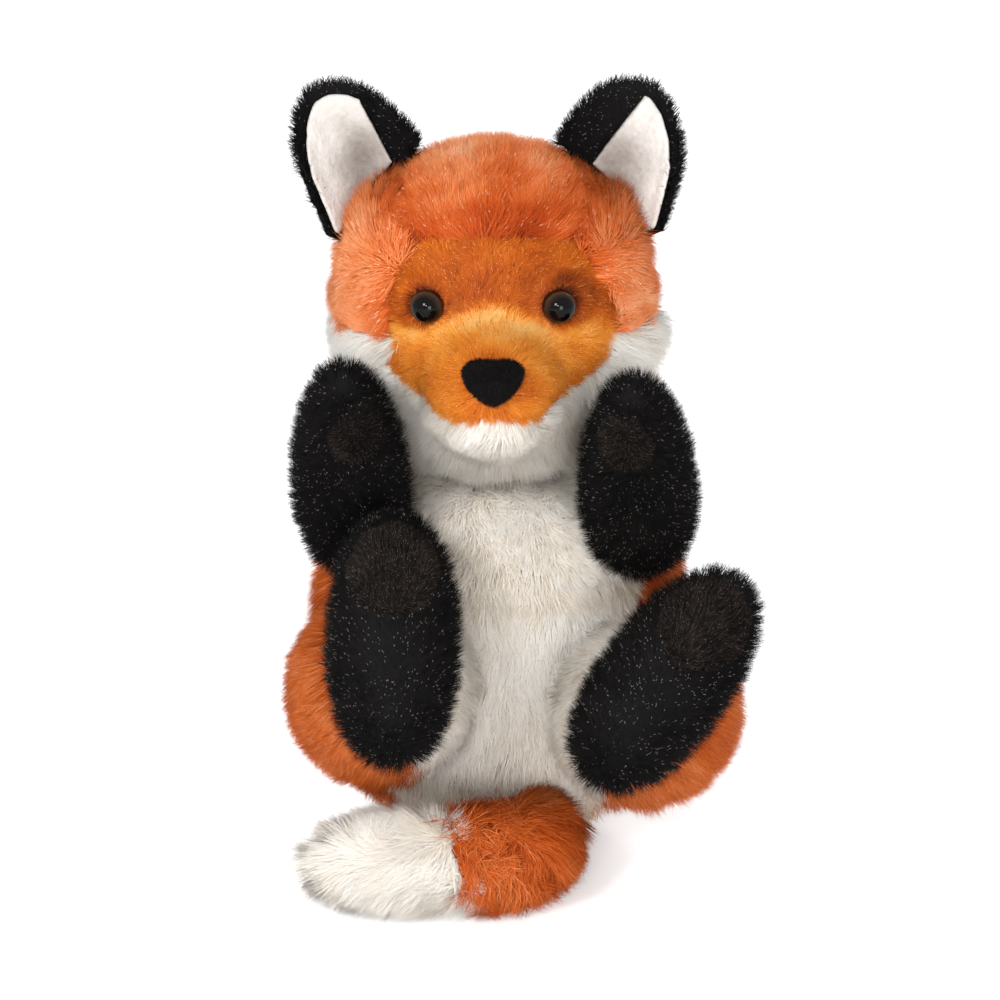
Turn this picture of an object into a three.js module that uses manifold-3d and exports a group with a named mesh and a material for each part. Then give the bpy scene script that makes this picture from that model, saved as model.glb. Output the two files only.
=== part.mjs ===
import * as THREE from 'three';
import { mergeVertices } from 'three/addons/utils/BufferGeometryUtils.js';
import Module from 'manifold-3d';

// A plush fox that sits up with its paws at its cheeks and its soles to the front.
// Millimetres, +Z up. The fox faces -Y and its own left is +X.
// The origin is the middle of the flat that it sits on.

const wasm = await Module();
wasm.setup();

// Fur fabric, felt, filling and seams
const shortFur = 2.6; // short pile on its backing, as a hand presses it
const longFur = 3.4; // long pile on its backing
const feltThickness = 1.5;
const seamGap = 0.3; // where a sewn piece meets its neighbour or the filling
const cutOverrun = 4; // how far a cutting shape runs past what it cuts
const sitFlat = 0.5; // how deep the seat and the tail are flattened where they rest

// Torso
const torsoHeight = 82;
const torsoHalfWidth = 37;
const torsoHalfDepth = 32;
const torsoHunch = 6; // how far the neck end leans forward
const bibHalfWidth = 27; // white front, at the belly
const chestSeamHeight = 62;
const seatPanelHeight = 9;
const beanHeight = 27; // top of the bean pouch in the seat
const pouchWall = 1;
const pouchMouthRadius = 4;

// Neck
const neckRadius = 8.5;
const neckHeight = 79.5;
const neckForward = 5;
const nodDown = 3; // degrees, until the chin meets the chest fur
const nodUp = 10;
const tiltSide = 6;
const headRoom = 0.7; // over the torso's top, at the end of a nod or a tilt

// Head
const headHeight = 113; // middle of the skull
const headForward = 8;
const headAside = -1.3; // the head sits a little towards the fox's right
const headHalfWidth = 31.2;
const headHalfDepth = 30;
const headHalfHeight = 31.5;
const muzzleHalfWidth = 14.5;
const muzzleHalfDepth = 18;
const muzzleHalfHeight = 14;
const muzzleForward = 30.5; // middle of the muzzle from the middle of the skull
const muzzleDrop = 9;
const crownHalfWidth = 16.5;
const crownBackRise = 10; // where the crown ends at the back, over the middle of the skull
const napeBack = 10; // seam of the back of the head behind the middle of the skull
const cheekDrop = 2; // seam between temple and cheek, under the middle of the skull
const chinHalfWidth = 16.5;

// Nose and eyes
const noseHalfWidth = 5.9;
const noseHalfHeight = 4.3;
const noseThickness = 2.4;
const noseDrop = 3.4; // under the middle of the skull
const eyeRadius = 3;
const eyeDome = 2.5;
const eyeHalfSpacing = 12.5;
const eyeRise = 6; // over the middle of the skull
const eyeToe = 14; // degrees that each eye looks to its own side
const shankRadius = 1;
const shankLength = 8;
const washerRadius = 3.6;
const washerThickness = 1.2;

// Ears
const earHeight = 21.5; // over the seam on the skull
const earHalfWidth = 12.2;
const earCurl = 17; // radius of the cup that the ear makes
const earAside = 22.6; // middle of the ear's seam from the middle of the head
const earBack = 6; // behind the middle of the skull
const earLeanRight = 16; // degrees outwards, of the fox's right ear
const earLeanLeft = 10;
const earTipBack = 6; // degrees that the ear leans back
const earSeamSlope = 38; // degrees that the seam falls away to the side
const earBorder = 2.2; // black edge round the lining
const earSwing = 8; // degrees that the ear bends forwards and back

// Arms
const armBottomHeight = 60;
const armTopHeightRight = 111.5;
const armTopHeightLeft = 109;
const armBottomAside = 27.5;
const armBottomForward = 18;
const armMiddleForward = 31;
const armTopForward = 44.5;
const pawAsideRight = 29.5;
const pawAsideLeft = 24.8;
const armHalfWidth = 12;
const armHalfDepth = 9.2;
const armOut = 20; // degrees that a paw swings away from the cheek
const pawPadHalfWidth = 5;
const pawPadHalfHeight = 6;
const pawPadPlaceShare = 0.4; // from the bend of the arm to the paw's end
const pawPadTurnShare = 0.45; // how much the pad looks inwards, next to forwards

// Legs
const thighRadius = 18.5;
const hipForward = 24;
const hipAsideRight = 23.5;
const hipAsideLeft = 27.5;
const hipHeightRight = 37;
const hipHeightLeft = 33;
const hipDepth = 20; // how far the thigh runs back from its middle, into the torso
const footForward = 56;
const footAsideRight = 19.9;
const footAsideLeft = 31;
const footHeightRight = 60.5;
const footHeightLeft = 52.5;
const footHalfLength = 25.8;
const footHalfWidth = 13.3;
const footHalfDepth = 10;
const soleLift = 25; // degrees that the soles look up
const footRollRight = 0;
const footRollLeft = 36; // degrees that the left foot's toes fall outwards
const innerThighAside = 8; // seam of the white inner thigh, from the middle of the thigh
const solePadHalfWidth = 8.6;
const solePadHalfHeight = 9.6;
const solePadOffset = 12; // towards the toes, from the middle of the sole
const legOut = 12; // degrees that a foot swings outwards

// Tail
const tailRadius = 11.4;
const tailRootAside = 6;
const tailRootForward = 20; // start of the tail's form, inside the torso
const tailSeamForward = 24; // where the tail is sewn to the torso's front
const tailBendAside = 7.5;
const tailBendForward = 33;
const tailCrossAside = 1;
const tailCrossForward = 42;
const tailRunAside = -14;
const tailRunForward = 43.5;
const tailTipAside = -38.5;
const tailTipSeamAside = -5; // where the white tip begins
const tailSwing = 10; // degrees to either side

// Roundness of the forms, in counts
const bigSides = 18;
const bigRings = 10;
const limbSides = 12;
const limbRings = 7;
const smallSides = 8;
const domeSteps = 5;
const outlineSteps = 14;

// Colours of the photographed toy
const crownOrange = 0xcf6032;
const backOrange = 0xc8622b;
const faceGold = 0xdc8a28;
const furWhite = 0xeeeae4;
const furBlack = 0x161515;
const padBrown = 0x2b2423;
const feltWhite = 0xe6e1dc;
const noseBlack = 0x121111;
const eyeBrown = 0x1b0f0a;
const fillingWhite = 0xf4f3ef;
const pouchGrey = 0xd8d4cc;
const beanCream = 0xe9e2cf;
const washerWhite = 0xf0f0f0;

const furRoughness = 0.9;
const fillingRoughness = 0.95;
const eyeRoughness = 0.08;
const washerRoughness = 0.5;

const up = new THREE.Vector3(0, 0, 1);
const leftwards = new THREE.Vector3(1, 0, 0);
const forwards = new THREE.Vector3(0, -1, 0);
const farOut = torsoHeight * 2; // a reach that passes the whole fox
const point = (x, y, z) => new THREE.Vector3(x, y, z);
const radians = THREE.MathUtils.degToRad;

// three.js geometry as a solid that can be joined and cut, and back again. A cut can leave specks
// of no size beside the piece, so only its largest body is kept.
function solidOf(geometry) {
  const bare = geometry.clone();
  bare.deleteAttribute('normal');
  bare.deleteAttribute('uv');
  const merged = mergeVertices(bare);
  return new wasm.Manifold(new wasm.Mesh({
    numProp: 3,
    vertProperties: new Float32Array(merged.attributes.position.array),
    triVerts: new Uint32Array(merged.index.array),
  }));
}

function geometryOf(solid) {
  const [body] = solid.decompose().sort((one, other) => other.volume() - one.volume());
  const mesh = body.getMesh();
  const geometry = new THREE.BufferGeometry();
  geometry.setAttribute('position', new THREE.BufferAttribute(mesh.vertProperties, mesh.numProp));
  geometry.setIndex(new THREE.BufferAttribute(mesh.triVerts, 1));
  geometry.computeVertexNormals();
  return geometry;
}

function joined(solids) {
  return solids.reduce((sum, solid) => sum.add(solid));
}

// A box between two corners
function box(low, high) {
  const size = high.clone().sub(low);
  const middle = low.clone().add(high).multiplyScalar(1 / 2);
  const geometry = new THREE.BoxGeometry(size.x, size.y, size.z);
  return solidOf(geometry.translate(middle.x, middle.y, middle.z));
}

// All the space between two heights
function slab(low, high) {
  return box(point(-farOut, -farOut, low), point(farOut, farOut, high));
}

// A list of shares read as a smooth curve, at any place along it
function shareAt(shares, along) {
  const stations = shares.map((share, i) => new THREE.Vector2(i / (shares.length - 1), share));
  return new THREE.SplineCurve(stations).getPoint(along).y;
}

// A stuffed form: a ball's skin drawn out along a spine that may bend. It is as wide and as deep
// at each station as its shares say. A fullness of 2 gives round ends and more gives blunt ones.
// An inset makes the same form smaller all round, and a negative inset makes it larger.
function stuffedForm(form, inset = 0) {
  const { spine, across, halfWidth, halfDepth, fullness, sides, rings } = form;
  const curve = new THREE.CatmullRomCurve3(spine);
  const reach = curve.getLength();
  const geometry = new THREE.SphereGeometry(1, sides, rings);
  const corners = geometry.attributes.position;
  for (let i = 0; i < corners.count; i += 1) {
    const corner = new THREE.Vector3().fromBufferAttribute(corners, i);
    const girth = Math.max(Math.hypot(corner.x, corner.z), Number.EPSILON);
    const swell = girth ** (2 / fullness - 1);
    const fromMiddle = Math.sign(corner.y) * Math.abs(corner.y) ** (2 / fullness);
    const along = THREE.MathUtils.clamp((1 - fromMiddle) / 2, 0, 1);
    const place = THREE.MathUtils.lerp(inset / reach, 1 - inset / reach, along);
    const onSpine = THREE.MathUtils.clamp(place, 0, 1);
    const tangent = curve.getTangentAt(onSpine);
    const sideways = across.clone().addScaledVector(tangent, -across.dot(tangent)).normalize();
    const depthways = tangent.clone().cross(sideways);
    const width = halfWidth * shareAt(form.widthShares, along) - inset;
    const depth = halfDepth * shareAt(form.depthShares, along) - inset;
    const moved = curve.getPointAt(onSpine).addScaledVector(tangent, (place - onSpine) * reach);
    moved.addScaledVector(sideways, corner.x * swell * width);
    moved.addScaledVector(depthways, corner.z * swell * depth);
    corners.setXYZ(i, moved.x, moved.y, moved.z);
  }
  return solidOf(geometry);
}

// A copy turned by some degrees about an axis through a pivot
function turned(solid, pivot, axis, degrees) {
  const turn = new THREE.Matrix4().makeTranslation(pivot)
    .multiply(new THREE.Matrix4().makeRotationAxis(axis, radians(degrees)))
    .multiply(new THREE.Matrix4().makeTranslation(pivot.clone().negate()));
  return solid.transform(turn.elements);
}

// All the room that a fixed solid takes, as seen from a piece that swings on a hinge. It is cut
// from the piece, which then clears the solid from one end of its swing to the other.
function roomSweptBy(fixed, hinge) {
  const [low, high] = hinge.range;
  const stops = [low, (low + high) / 2, high];
  return joined(stops.map((degrees) => turned(fixed, hinge.pivot, hinge.axis, -degrees)));
}

// A plug of oval section that runs from a point outwards, for pads and holes
function ovalPlug(start, outwards, upwards, halfWidth, halfHeight, sides) {
  const geometry = new THREE.CylinderGeometry(halfWidth, halfWidth, farOut, sides);
  geometry.rotateX(Math.PI / 2);
  geometry.scale(1, halfHeight / halfWidth, 1);
  geometry.translate(0, 0, farOut / 2);
  const z = outwards.clone().normalize();
  const x = upwards.clone().cross(z).normalize();
  const y = z.clone().cross(x);
  geometry.applyMatrix4(new THREE.Matrix4().makeBasis(x, y, z).setPosition(start));
  return solidOf(geometry);
}

// A prism with its outline in the front view, a smooth closed curve through some points. It may
// be grown outwards, and it runs from the front to the back.
function frontPrism(points, frontY, backY, grow = 0) {
  const middle = new THREE.Box2().setFromPoints(points).getCenter(new THREE.Vector2());
  const grown = points.map((p) => {
    const outwards = p.clone().sub(middle).normalize();
    return new THREE.Vector3(p.x + outwards.x * grow, p.y + outwards.y * grow, 0);
  });
  const curve = new THREE.CatmullRomCurve3(grown, true);
  const outline = curve.getPoints(outlineSteps).slice(0, outlineSteps);
  const geometry = new THREE.ExtrudeGeometry(new THREE.Shape(outline), {
    depth: backY - frontY,
    bevelEnabled: false,
  });
  geometry.rotateX(Math.PI / 2);
  geometry.translate(0, backY, 0);
  return solidOf(geometry);
}

// Splits a shell of fabric into sewn panels, one after the other. Each cutter is asked for at its
// true size for its own panel, and larger by the seam gap to clear the panels that come after it.
function sewnPanels(shell, cutters) {
  const panels = {};
  let rest = shell;
  for (const [name, cutter] of Object.entries(cutters)) {
    panels[name] = rest.intersect(cutter(0));
    rest = rest.subtract(cutter(seamGap));
  }
  return panels;
}

// The fox is a group for each part that moves by itself, and its hinges say how they move
const fox = new THREE.Group();
fox.userData.hinges = {};

function movingPart(name) {
  const group = new THREE.Group();
  group.name = name;
  fox.add(group);
  return group;
}

function addPiece(group, name, solid, color, roughness) {
  const material = new THREE.MeshStandardMaterial({ color, roughness, metalness: 0 });
  const mesh = new THREE.Mesh(geometryOf(solid), material);
  mesh.name = name;
  group.add(mesh);
}

function addHinge(name, pivot, axis, oneEnd, otherEnd) {
  const range = [Math.min(oneEnd, otherEnd), Math.max(oneEnd, otherEnd)];
  const hinge = { pivot, axis, range };
  fox.userData.hinges[name] = hinge;
  return hinge;
}

const torso = movingPart('torso');
const neck = movingPart('neck');
const head = movingPart('head');

// Forms of the torso and the head
const torsoForm = {
  spine: [
    point(0, 0, -sitFlat),
    point(0, 0, torsoHeight / 2),
    point(0, -torsoHunch, torsoHeight),
  ],
  across: leftwards,
  halfWidth: torsoHalfWidth,
  halfDepth: torsoHalfDepth,
  widthShares: [0.9, 1, 1.02, 1.05, 1, 0.86],
  depthShares: [0.9, 1, 1.02, 1, 0.95, 0.84],
  fullness: 2.7,
  sides: bigSides,
  rings: bigRings,
};
const headMiddle = point(headAside, -headForward, headHeight);
const skullForm = {
  spine: [
    headMiddle.clone().addScaledVector(up, -headHalfHeight),
    headMiddle.clone().addScaledVector(up, headHalfHeight),
  ],
  across: leftwards,
  halfWidth: headHalfWidth,
  halfDepth: headHalfDepth,
  widthShares: [1, 1.05, 1.02, 0.99, 0.98],
  depthShares: [1, 1, 1],
  fullness: 2.1,
  sides: bigSides,
  rings: bigRings,
};
const muzzleMiddle = headMiddle.clone().add(point(0, -muzzleForward, -muzzleDrop));
const muzzleForm = {
  spine: [
    muzzleMiddle.clone().addScaledVector(forwards, -muzzleHalfDepth),
    muzzleMiddle.clone().addScaledVector(forwards, muzzleHalfDepth),
  ],
  across: leftwards,
  halfWidth: muzzleHalfWidth,
  halfDepth: muzzleHalfHeight,
  widthShares: [1.1, 1.1, 1, 0.9, 0.8],
  depthShares: [1.05, 1.05, 1, 0.92, 0.86],
  fullness: 2.3,
  sides: limbSides,
  rings: limbRings,
};
const headSolid = (inset) => stuffedForm(skullForm, inset).add(stuffedForm(muzzleForm, inset));
const torsoSolid = (inset) => stuffedForm(torsoForm, inset);

// How far the skull's surface lies from its middle plane, at a place that is so far aside of the
// middle and so far away from it along a second half size
function onSkull(aside, away, awayHalf, otherHalf) {
  return otherHalf * Math.sqrt(1 - (aside / headHalfWidth) ** 2 - (away / awayHalf) ** 2);
}

// Neck: a ball of filling on which the head tilts and nods
const neckPivot = point(headAside, -neckForward, neckHeight);
const neckBall = (grow) => solidOf(
  new THREE.SphereGeometry(neckRadius + grow, limbSides, limbRings)
    .translate(neckPivot.x, neckPivot.y, neckPivot.z),
);
const tilt = addHinge('head_tilt', neckPivot, forwards, -tiltSide, tiltSide);
const nod = addHinge('head_nod', neckPivot, leftwards.clone().negate(), -nodDown, nodUp);
addPiece(neck, 'neck_stuffing', neckBall(0), fillingWhite, fillingRoughness);

// Room over the torso for the skull, at rest and at each corner of its nod and tilt
const skullRoom = stuffedForm({ ...skullForm, rings: limbRings }, -headRoom);
const skullSweep = joined([skullRoom, ...nod.range.flatMap((nodded) => tilt.range.map(
  (tilted) => turned(
    turned(skullRoom, neckPivot, nod.axis, nodded), neckPivot, tilt.axis, tilted,
  ),
))]);

// Torso: a white chest and belly, an orange back in two halves and an orange seat
const overTorso = skullSweep.add(neckBall(seamGap));
const torsoShell = torsoSolid(0).subtract(torsoSolid(longFur)).intersect(slab(0, farOut))
  .subtract(overTorso);
const bibShares = [
  [0, 1.4], [0.55, 1.3], [0.72, 0.95], [0.95, 0.75], [1, 0.5], [0.8, 0.22], [0.45, 0.06], [0, 0],
  [-0.45, 0.06], [-0.8, 0.22], [-1, 0.5], [-0.95, 0.75], [-0.72, 0.95], [-0.55, 1.3],
];
const bibPoints = bibShares.map(([x, z]) => new THREE.Vector2(x * bibHalfWidth, z * torsoHeight));
const bibPrism = (grow) => frontPrism(bibPoints, -farOut, 0, grow);
const torsoPanels = sewnPanels(torsoShell, {
  seat_panel: (grow) => slab(-cutOverrun, seatPanelHeight + grow),
  chest_panel: (grow) => bibPrism(grow).intersect(slab(chestSeamHeight - grow, farOut)),
  belly_panel: (grow) => bibPrism(grow),
  back_panel_left: (grow) => box(point(-grow, -farOut, 0), point(farOut, farOut, farOut)),
  back_panel_right: () => box(point(-farOut, -farOut, 0), point(0, farOut, farOut)),
});
const torsoColours = {
  seat_panel: backOrange,
  chest_panel: furWhite,
  belly_panel: furWhite,
  back_panel_left: backOrange,
  back_panel_right: backOrange,
};
for (const [name, colour] of Object.entries(torsoColours)) {
  addPiece(torso, name, torsoPanels[name], colour, furRoughness);
}

// Filling of the torso: a pouch of beans in the seat, with fibre over it
const torsoCore = (inset) => torsoSolid(longFur + seamGap + inset);
const pouchMouth = solidOf(
  new THREE.CylinderGeometry(pouchMouthRadius, pouchMouthRadius, cutOverrun, smallSides)
    .rotateX(Math.PI / 2)
    .translate(0, 0, beanHeight),
);
const pouch = torsoCore(0).intersect(slab(0, beanHeight))
  .subtract(torsoCore(pouchWall).intersect(slab(0, beanHeight - pouchWall)))
  .subtract(pouchMouth);
const beans = torsoCore(pouchWall + seamGap).intersect(slab(0, beanHeight - pouchWall - seamGap));
const torsoFibre = torsoCore(0).intersect(slab(beanHeight + seamGap, farOut)).subtract(overTorso);
addPiece(torso, 'bean_pouch', pouch, pouchGrey, furRoughness);
addPiece(torso, 'bean_fill', beans, beanCream, furRoughness);
addPiece(torso, 'body_stuffing', torsoFibre, fillingWhite, fillingRoughness);

// Eyes: glossy domes on shanks that go through the fabric, each held inside by a washer
const eyeProfile = [
  [0, -shankLength], [shankRadius, -shankLength], [shankRadius, 0],
  ...Array.from({ length: domeSteps }, (_, step) => (step / domeSteps) * (Math.PI / 2))
    .map((rise) => [eyeRadius * Math.cos(rise), eyeDome * Math.sin(rise)]),
  [0, eyeDome],
].map(([x, y]) => new THREE.Vector2(x, y));
const eyeHoles = [];
for (const [side, sign] of [['left', 1], ['right', -1]]) {
  const aside = sign * eyeHalfSpacing;
  const front = onSkull(aside, eyeRise, headHalfHeight, headHalfDepth);
  const seat = headMiddle.clone().add(point(aside, -front, eyeRise));
  const look = forwards.clone().applyAxisAngle(up, radians(sign * eyeToe));
  const facing = new THREE.Quaternion().setFromUnitVectors(point(0, 1, 0), look);
  const seated = (geometry, out) => {
    const place = seat.clone().addScaledVector(look, out);
    return solidOf(geometry.applyQuaternion(facing).translate(place.x, place.y, place.z));
  };
  const disc = (radius, low, high) => seated(
    new THREE.CylinderGeometry(radius, radius, high - low, smallSides), (low + high) / 2,
  );
  const washerFront = -shortFur - seamGap * 3;
  const washerBack = washerFront - washerThickness;
  const button = seated(new THREE.LatheGeometry(eyeProfile, smallSides), seamGap * 2);
  const washer = disc(washerRadius, washerBack, washerFront)
    .subtract(disc(shankRadius + seamGap, -shankLength, 0));
  eyeHoles.push(
    disc(shankRadius + seamGap, -shankLength - seamGap, cutOverrun),
    disc(washerRadius + seamGap, washerBack - seamGap, -shortFur + seamGap),
    disc(eyeRadius + seamGap, seamGap, cutOverrun),
  );
  addPiece(head, `eye_${side}`, button, eyeBrown, eyeRoughness);
  addPiece(head, `eye_washer_${side}`, washer, washerWhite, washerRoughness);
}

// Head: a gold face, a white chin and cheeks, and orange temples, crown and back
const headCuts = joined([...eyeHoles, neckBall(seamGap)]);
const headShell = headSolid(0).subtract(headSolid(shortFur)).subtract(headCuts);
const faceShares = [
  [0, 0.62], [0.42, 0.56], [0.66, 0.36], [0.72, 0.06], [0.66, -0.2], [0.5, -0.33], [0.24, -0.38],
  [0, -0.32], [-0.24, -0.38], [-0.5, -0.33], [-0.66, -0.2], [-0.72, 0.06], [-0.66, 0.36],
  [-0.42, 0.56],
];
const facePoints = faceShares.map(([x, z]) => new THREE.Vector2(
  headMiddle.x + x * headHalfWidth,
  headMiddle.z + z * headHalfHeight,
));
const { x: headX, y: headY, z: headZ } = headMiddle;
const headPanels = sewnPanels(headShell, {
  face_mask: (grow) => frontPrism(facePoints, headY - farOut, headY, grow),
  head_crown: (grow) => box(
    point(headX - crownHalfWidth - grow, -farOut, headZ + crownBackRise - grow),
    point(headX + crownHalfWidth + grow, farOut, farOut),
  ),
  head_back: (grow) => box(point(-farOut, headY + napeBack - grow, 0), point(farOut, farOut, farOut)),
  chin: (grow) => box(
    point(headX - chinHalfWidth - grow, -farOut, 0),
    point(headX + chinHalfWidth + grow, farOut, headZ),
  ),
  temple_left: (grow) => box(
    point(headX, -farOut, headZ - cheekDrop - grow), point(farOut, farOut, farOut),
  ),
  temple_right: (grow) => box(
    point(-farOut, -farOut, headZ - cheekDrop - grow), point(headX, farOut, farOut),
  ),
  cheek_left: () => box(point(headX, -farOut, 0), point(farOut, farOut, farOut)),
  cheek_right: () => box(point(-farOut, -farOut, 0), point(headX, farOut, farOut)),
});
const headColours = {
  face_mask: faceGold,
  head_crown: crownOrange,
  head_back: backOrange,
  chin: furWhite,
  temple_left: crownOrange,
  temple_right: crownOrange,
  cheek_left: furWhite,
  cheek_right: furWhite,
};
for (const [name, colour] of Object.entries(headColours)) {
  addPiece(head, name, headPanels[name], colour, furRoughness);
}
const headFibre = headSolid(shortFur + seamGap).subtract(headCuts);
addPiece(head, 'head_stuffing', headFibre, fillingWhite, fillingRoughness);

// Nose: a rounded triangle of velour, wide at the top, on the front of the muzzle
const noseShares = [
  [0, 1.04], [0.6, 0.98], [1, 0.58], [0.8, -0.15], [0.36, -0.85], [0, -1.05],
  [-0.36, -0.85], [-0.8, -0.15], [-1, 0.58], [-0.6, 0.98],
];
const nosePoints = noseShares.map(([x, z]) => new THREE.Vector2(
  headX + x * noseHalfWidth,
  headZ - noseDrop + z * noseHalfHeight,
));
const nose = frontPrism(nosePoints, -farOut, muzzleMiddle.y)
  .intersect(stuffedForm(muzzleForm, -seamGap - noseThickness))
  .subtract(stuffedForm(muzzleForm, -seamGap));
addPiece(head, 'nose', nose, noseBlack, furRoughness);

// Ears: a black fur back and a felt lining, both curled into a cup and sewn to the skull
const earShares = [
  [-0.7, -0.4], [-1, 0.2], [-0.86, 0.55], [-0.46, 0.88], [0, 1], [0.42, 0.98],
  [0.78, 0.76], [1, 0.4], [0.98, 0], [0.8, -0.44],
];
for (const [side, sign, lean] of [['left', 1, earLeanLeft], ['right', -1, earLeanRight]]) {
  const rise = onSkull(earAside, earBack, headHalfDepth, headHalfHeight);
  const seam = headMiddle.clone().add(point(sign * earAside, earBack, rise));
  const seamLine = leftwards.clone().applyAxisAngle(point(0, 1, 0), radians(sign * earSeamSlope));
  const hinge = addHinge(`ear_${side}_bend`, seam, seamLine, -earSwing, earSwing);
  const curl = (radius) => solidOf(
    new THREE.CylinderGeometry(radius, radius, farOut, bigSides)
      .rotateX(Math.PI / 2)
      .translate(0, -earCurl, 0),
  );
  const sheet = (border, depth, thickness) => {
    const outline = earShares.map(([x, z]) => new THREE.Vector2(
      sign * x * (earHalfWidth - border),
      z * (earHeight - border),
    ));
    return frontPrism(outline, -earCurl, cutOverrun)
      .intersect(curl(earCurl - depth).subtract(curl(earCurl - depth - thickness)));
  };
  const stand = new THREE.Matrix4().makeRotationFromEuler(
    new THREE.Euler(radians(-earTipBack), radians(sign * lean), 0),
  ).setPosition(seam);
  const skull = roomSweptBy(stuffedForm(skullForm, -seamGap), hinge);
  const back = sheet(0, 0, shortFur).transform(stand.elements).subtract(skull);
  const lining = sheet(earBorder, shortFur + seamGap, feltThickness).transform(stand.elements)
    .subtract(skull);
  const ear = movingPart(`ear_${side}`);
  addPiece(ear, `ear_${side}_back`, back, furBlack, furRoughness);
  addPiece(ear, `ear_${side}_lining`, lining, feltWhite, furRoughness);
}

// Arms: black fur tubes bent up to the cheeks, sewn to the torso's sides at their lower ends
const arms = [
  ['left', 1, pawAsideLeft, armTopHeightLeft],
  ['right', -1, pawAsideRight, armTopHeightRight],
];
for (const [side, sign, pawAside, topHeight] of arms) {
  const bottom = point(sign * armBottomAside, -armBottomForward, armBottomHeight);
  const top = point(sign * pawAside, -armTopForward, topHeight);
  const middle = bottom.clone().lerp(top, 1 / 2).setY(-armMiddleForward);
  const armForm = {
    spine: [bottom, middle, top],
    across: leftwards,
    halfWidth: armHalfWidth,
    halfDepth: armHalfDepth,
    widthShares: [1.02, 1.06, 1.02, 0.92, 0.76],
    depthShares: [1, 1, 1, 0.95, 0.85],
    fullness: 2.5,
    sides: limbSides,
    rings: limbRings,
  };
  const shoulder = bottom.clone().add(point(-sign * armHalfWidth / 4, 0, armHalfWidth));
  const hinge = addHinge(`arm_${side}_swing`, shoulder, forwards, 0, -sign * armOut);
  const torsoRoom = roomSweptBy(torsoSolid(-seamGap), hinge);
  const padMiddle = middle.clone().lerp(top, pawPadPlaceShare);
  const padLook = point(-sign * pawPadTurnShare, -1, 0);
  const padPlug = (grow) => ovalPlug(
    padMiddle, padLook, up, pawPadHalfWidth + grow, pawPadHalfHeight + grow, smallSides,
  );
  const armShell = stuffedForm(armForm).subtract(stuffedForm(armForm, shortFur));
  const plush = armShell.subtract(torsoRoom).subtract(padPlug(seamGap));
  const pad = armShell.intersect(padPlug(0));
  const fibre = stuffedForm(armForm, shortFur + seamGap).subtract(torsoRoom);
  const arm = movingPart(`arm_${side}`);
  addPiece(arm, `arm_${side}_plush`, plush, furBlack, furRoughness);
  addPiece(arm, `arm_${side}_paw_pad`, pad, padBrown, furRoughness);
  addPiece(arm, `arm_${side}_stuffing`, fibre, fillingWhite, fillingRoughness);
}

// Legs: orange thighs against the torso, and black feet with velour soles
const legs = [
  ['left', 1, hipAsideLeft, hipHeightLeft, footAsideLeft, footHeightLeft, footRollLeft],
  ['right', -1, hipAsideRight, hipHeightRight, footAsideRight, footHeightRight, footRollRight],
];
for (const [side, sign, hipAside, hipHeight, footAside, footHeight, footRoll] of legs) {
  const hip = point(sign * hipAside, -hipForward, hipHeight);
  const foot = point(sign * footAside, -footForward, footHeight);
  const reach = foot.clone().sub(hip).normalize();
  const soleLook = forwards.clone().applyAxisAngle(leftwards, radians(-soleLift));
  const toes = up.clone().applyAxisAngle(leftwards, radians(-soleLift))
    .applyAxisAngle(soleLook, radians(-sign * footRoll));
  const thighForm = {
    spine: [hip.clone().addScaledVector(reach, -hipDepth), foot],
    across: leftwards,
    halfWidth: thighRadius,
    halfDepth: thighRadius,
    widthShares: [1, 1.03, 1, 0.9, 0.8],
    depthShares: [1, 1.03, 1, 0.9, 0.8],
    fullness: 2.2,
    sides: limbSides,
    rings: limbRings,
  };
  const footForm = {
    spine: [-1, 1].map((end) => foot.clone().addScaledVector(toes, end * footHalfLength)),
    across: toes.clone().cross(soleLook),
    halfWidth: footHalfWidth,
    halfDepth: footHalfDepth,
    widthShares: [0.95, 1.02, 1, 1, 0.92],
    depthShares: [0.95, 1, 1, 0.98, 0.9],
    fullness: 2.5,
    sides: limbSides,
    rings: limbRings,
  };
  const hipSeam = hip.clone().setY(-hipForward + thighRadius / 3);
  const hinge = addHinge(`leg_${side}_swing`, hipSeam, up, 0, sign * legOut);
  const torsoRoom = roomSweptBy(torsoSolid(-seamGap), hinge);
  const whole = (inset) => stuffedForm(thighForm, inset).add(stuffedForm(footForm, inset));
  const panels = sewnPanels(whole(0).subtract(whole(shortFur)).subtract(torsoRoom), {
    sole_pad: (grow) => ovalPlug(
      foot.clone().addScaledVector(toes, solePadOffset), soleLook, toes,
      solePadHalfWidth + grow, solePadHalfHeight + grow, smallSides,
    ),
    foot: (grow) => stuffedForm(footForm, -grow),
    inner_thigh: (grow) => box(
      point(-farOut, -farOut, 0), point(hipAside - innerThighAside + grow, farOut, farOut),
    ).transform(new THREE.Matrix4().makeScale(sign, 1, 1).elements),
    thigh: () => slab(0, farOut),
  });
  const leg = movingPart(`leg_${side}`);
  addPiece(leg, `leg_${side}_thigh`, panels.thigh, backOrange, furRoughness);
  addPiece(leg, `leg_${side}_inner_thigh`, panels.inner_thigh, furWhite, furRoughness);
  addPiece(leg, `leg_${side}_foot`, panels.foot, furBlack, furRoughness);
  addPiece(leg, `leg_${side}_sole_pad`, panels.sole_pad, padBrown, furRoughness);
  const fibre = whole(shortFur + seamGap).subtract(torsoRoom);
  addPiece(leg, `leg_${side}_stuffing`, fibre, fillingWhite, fillingRoughness);
}

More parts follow.
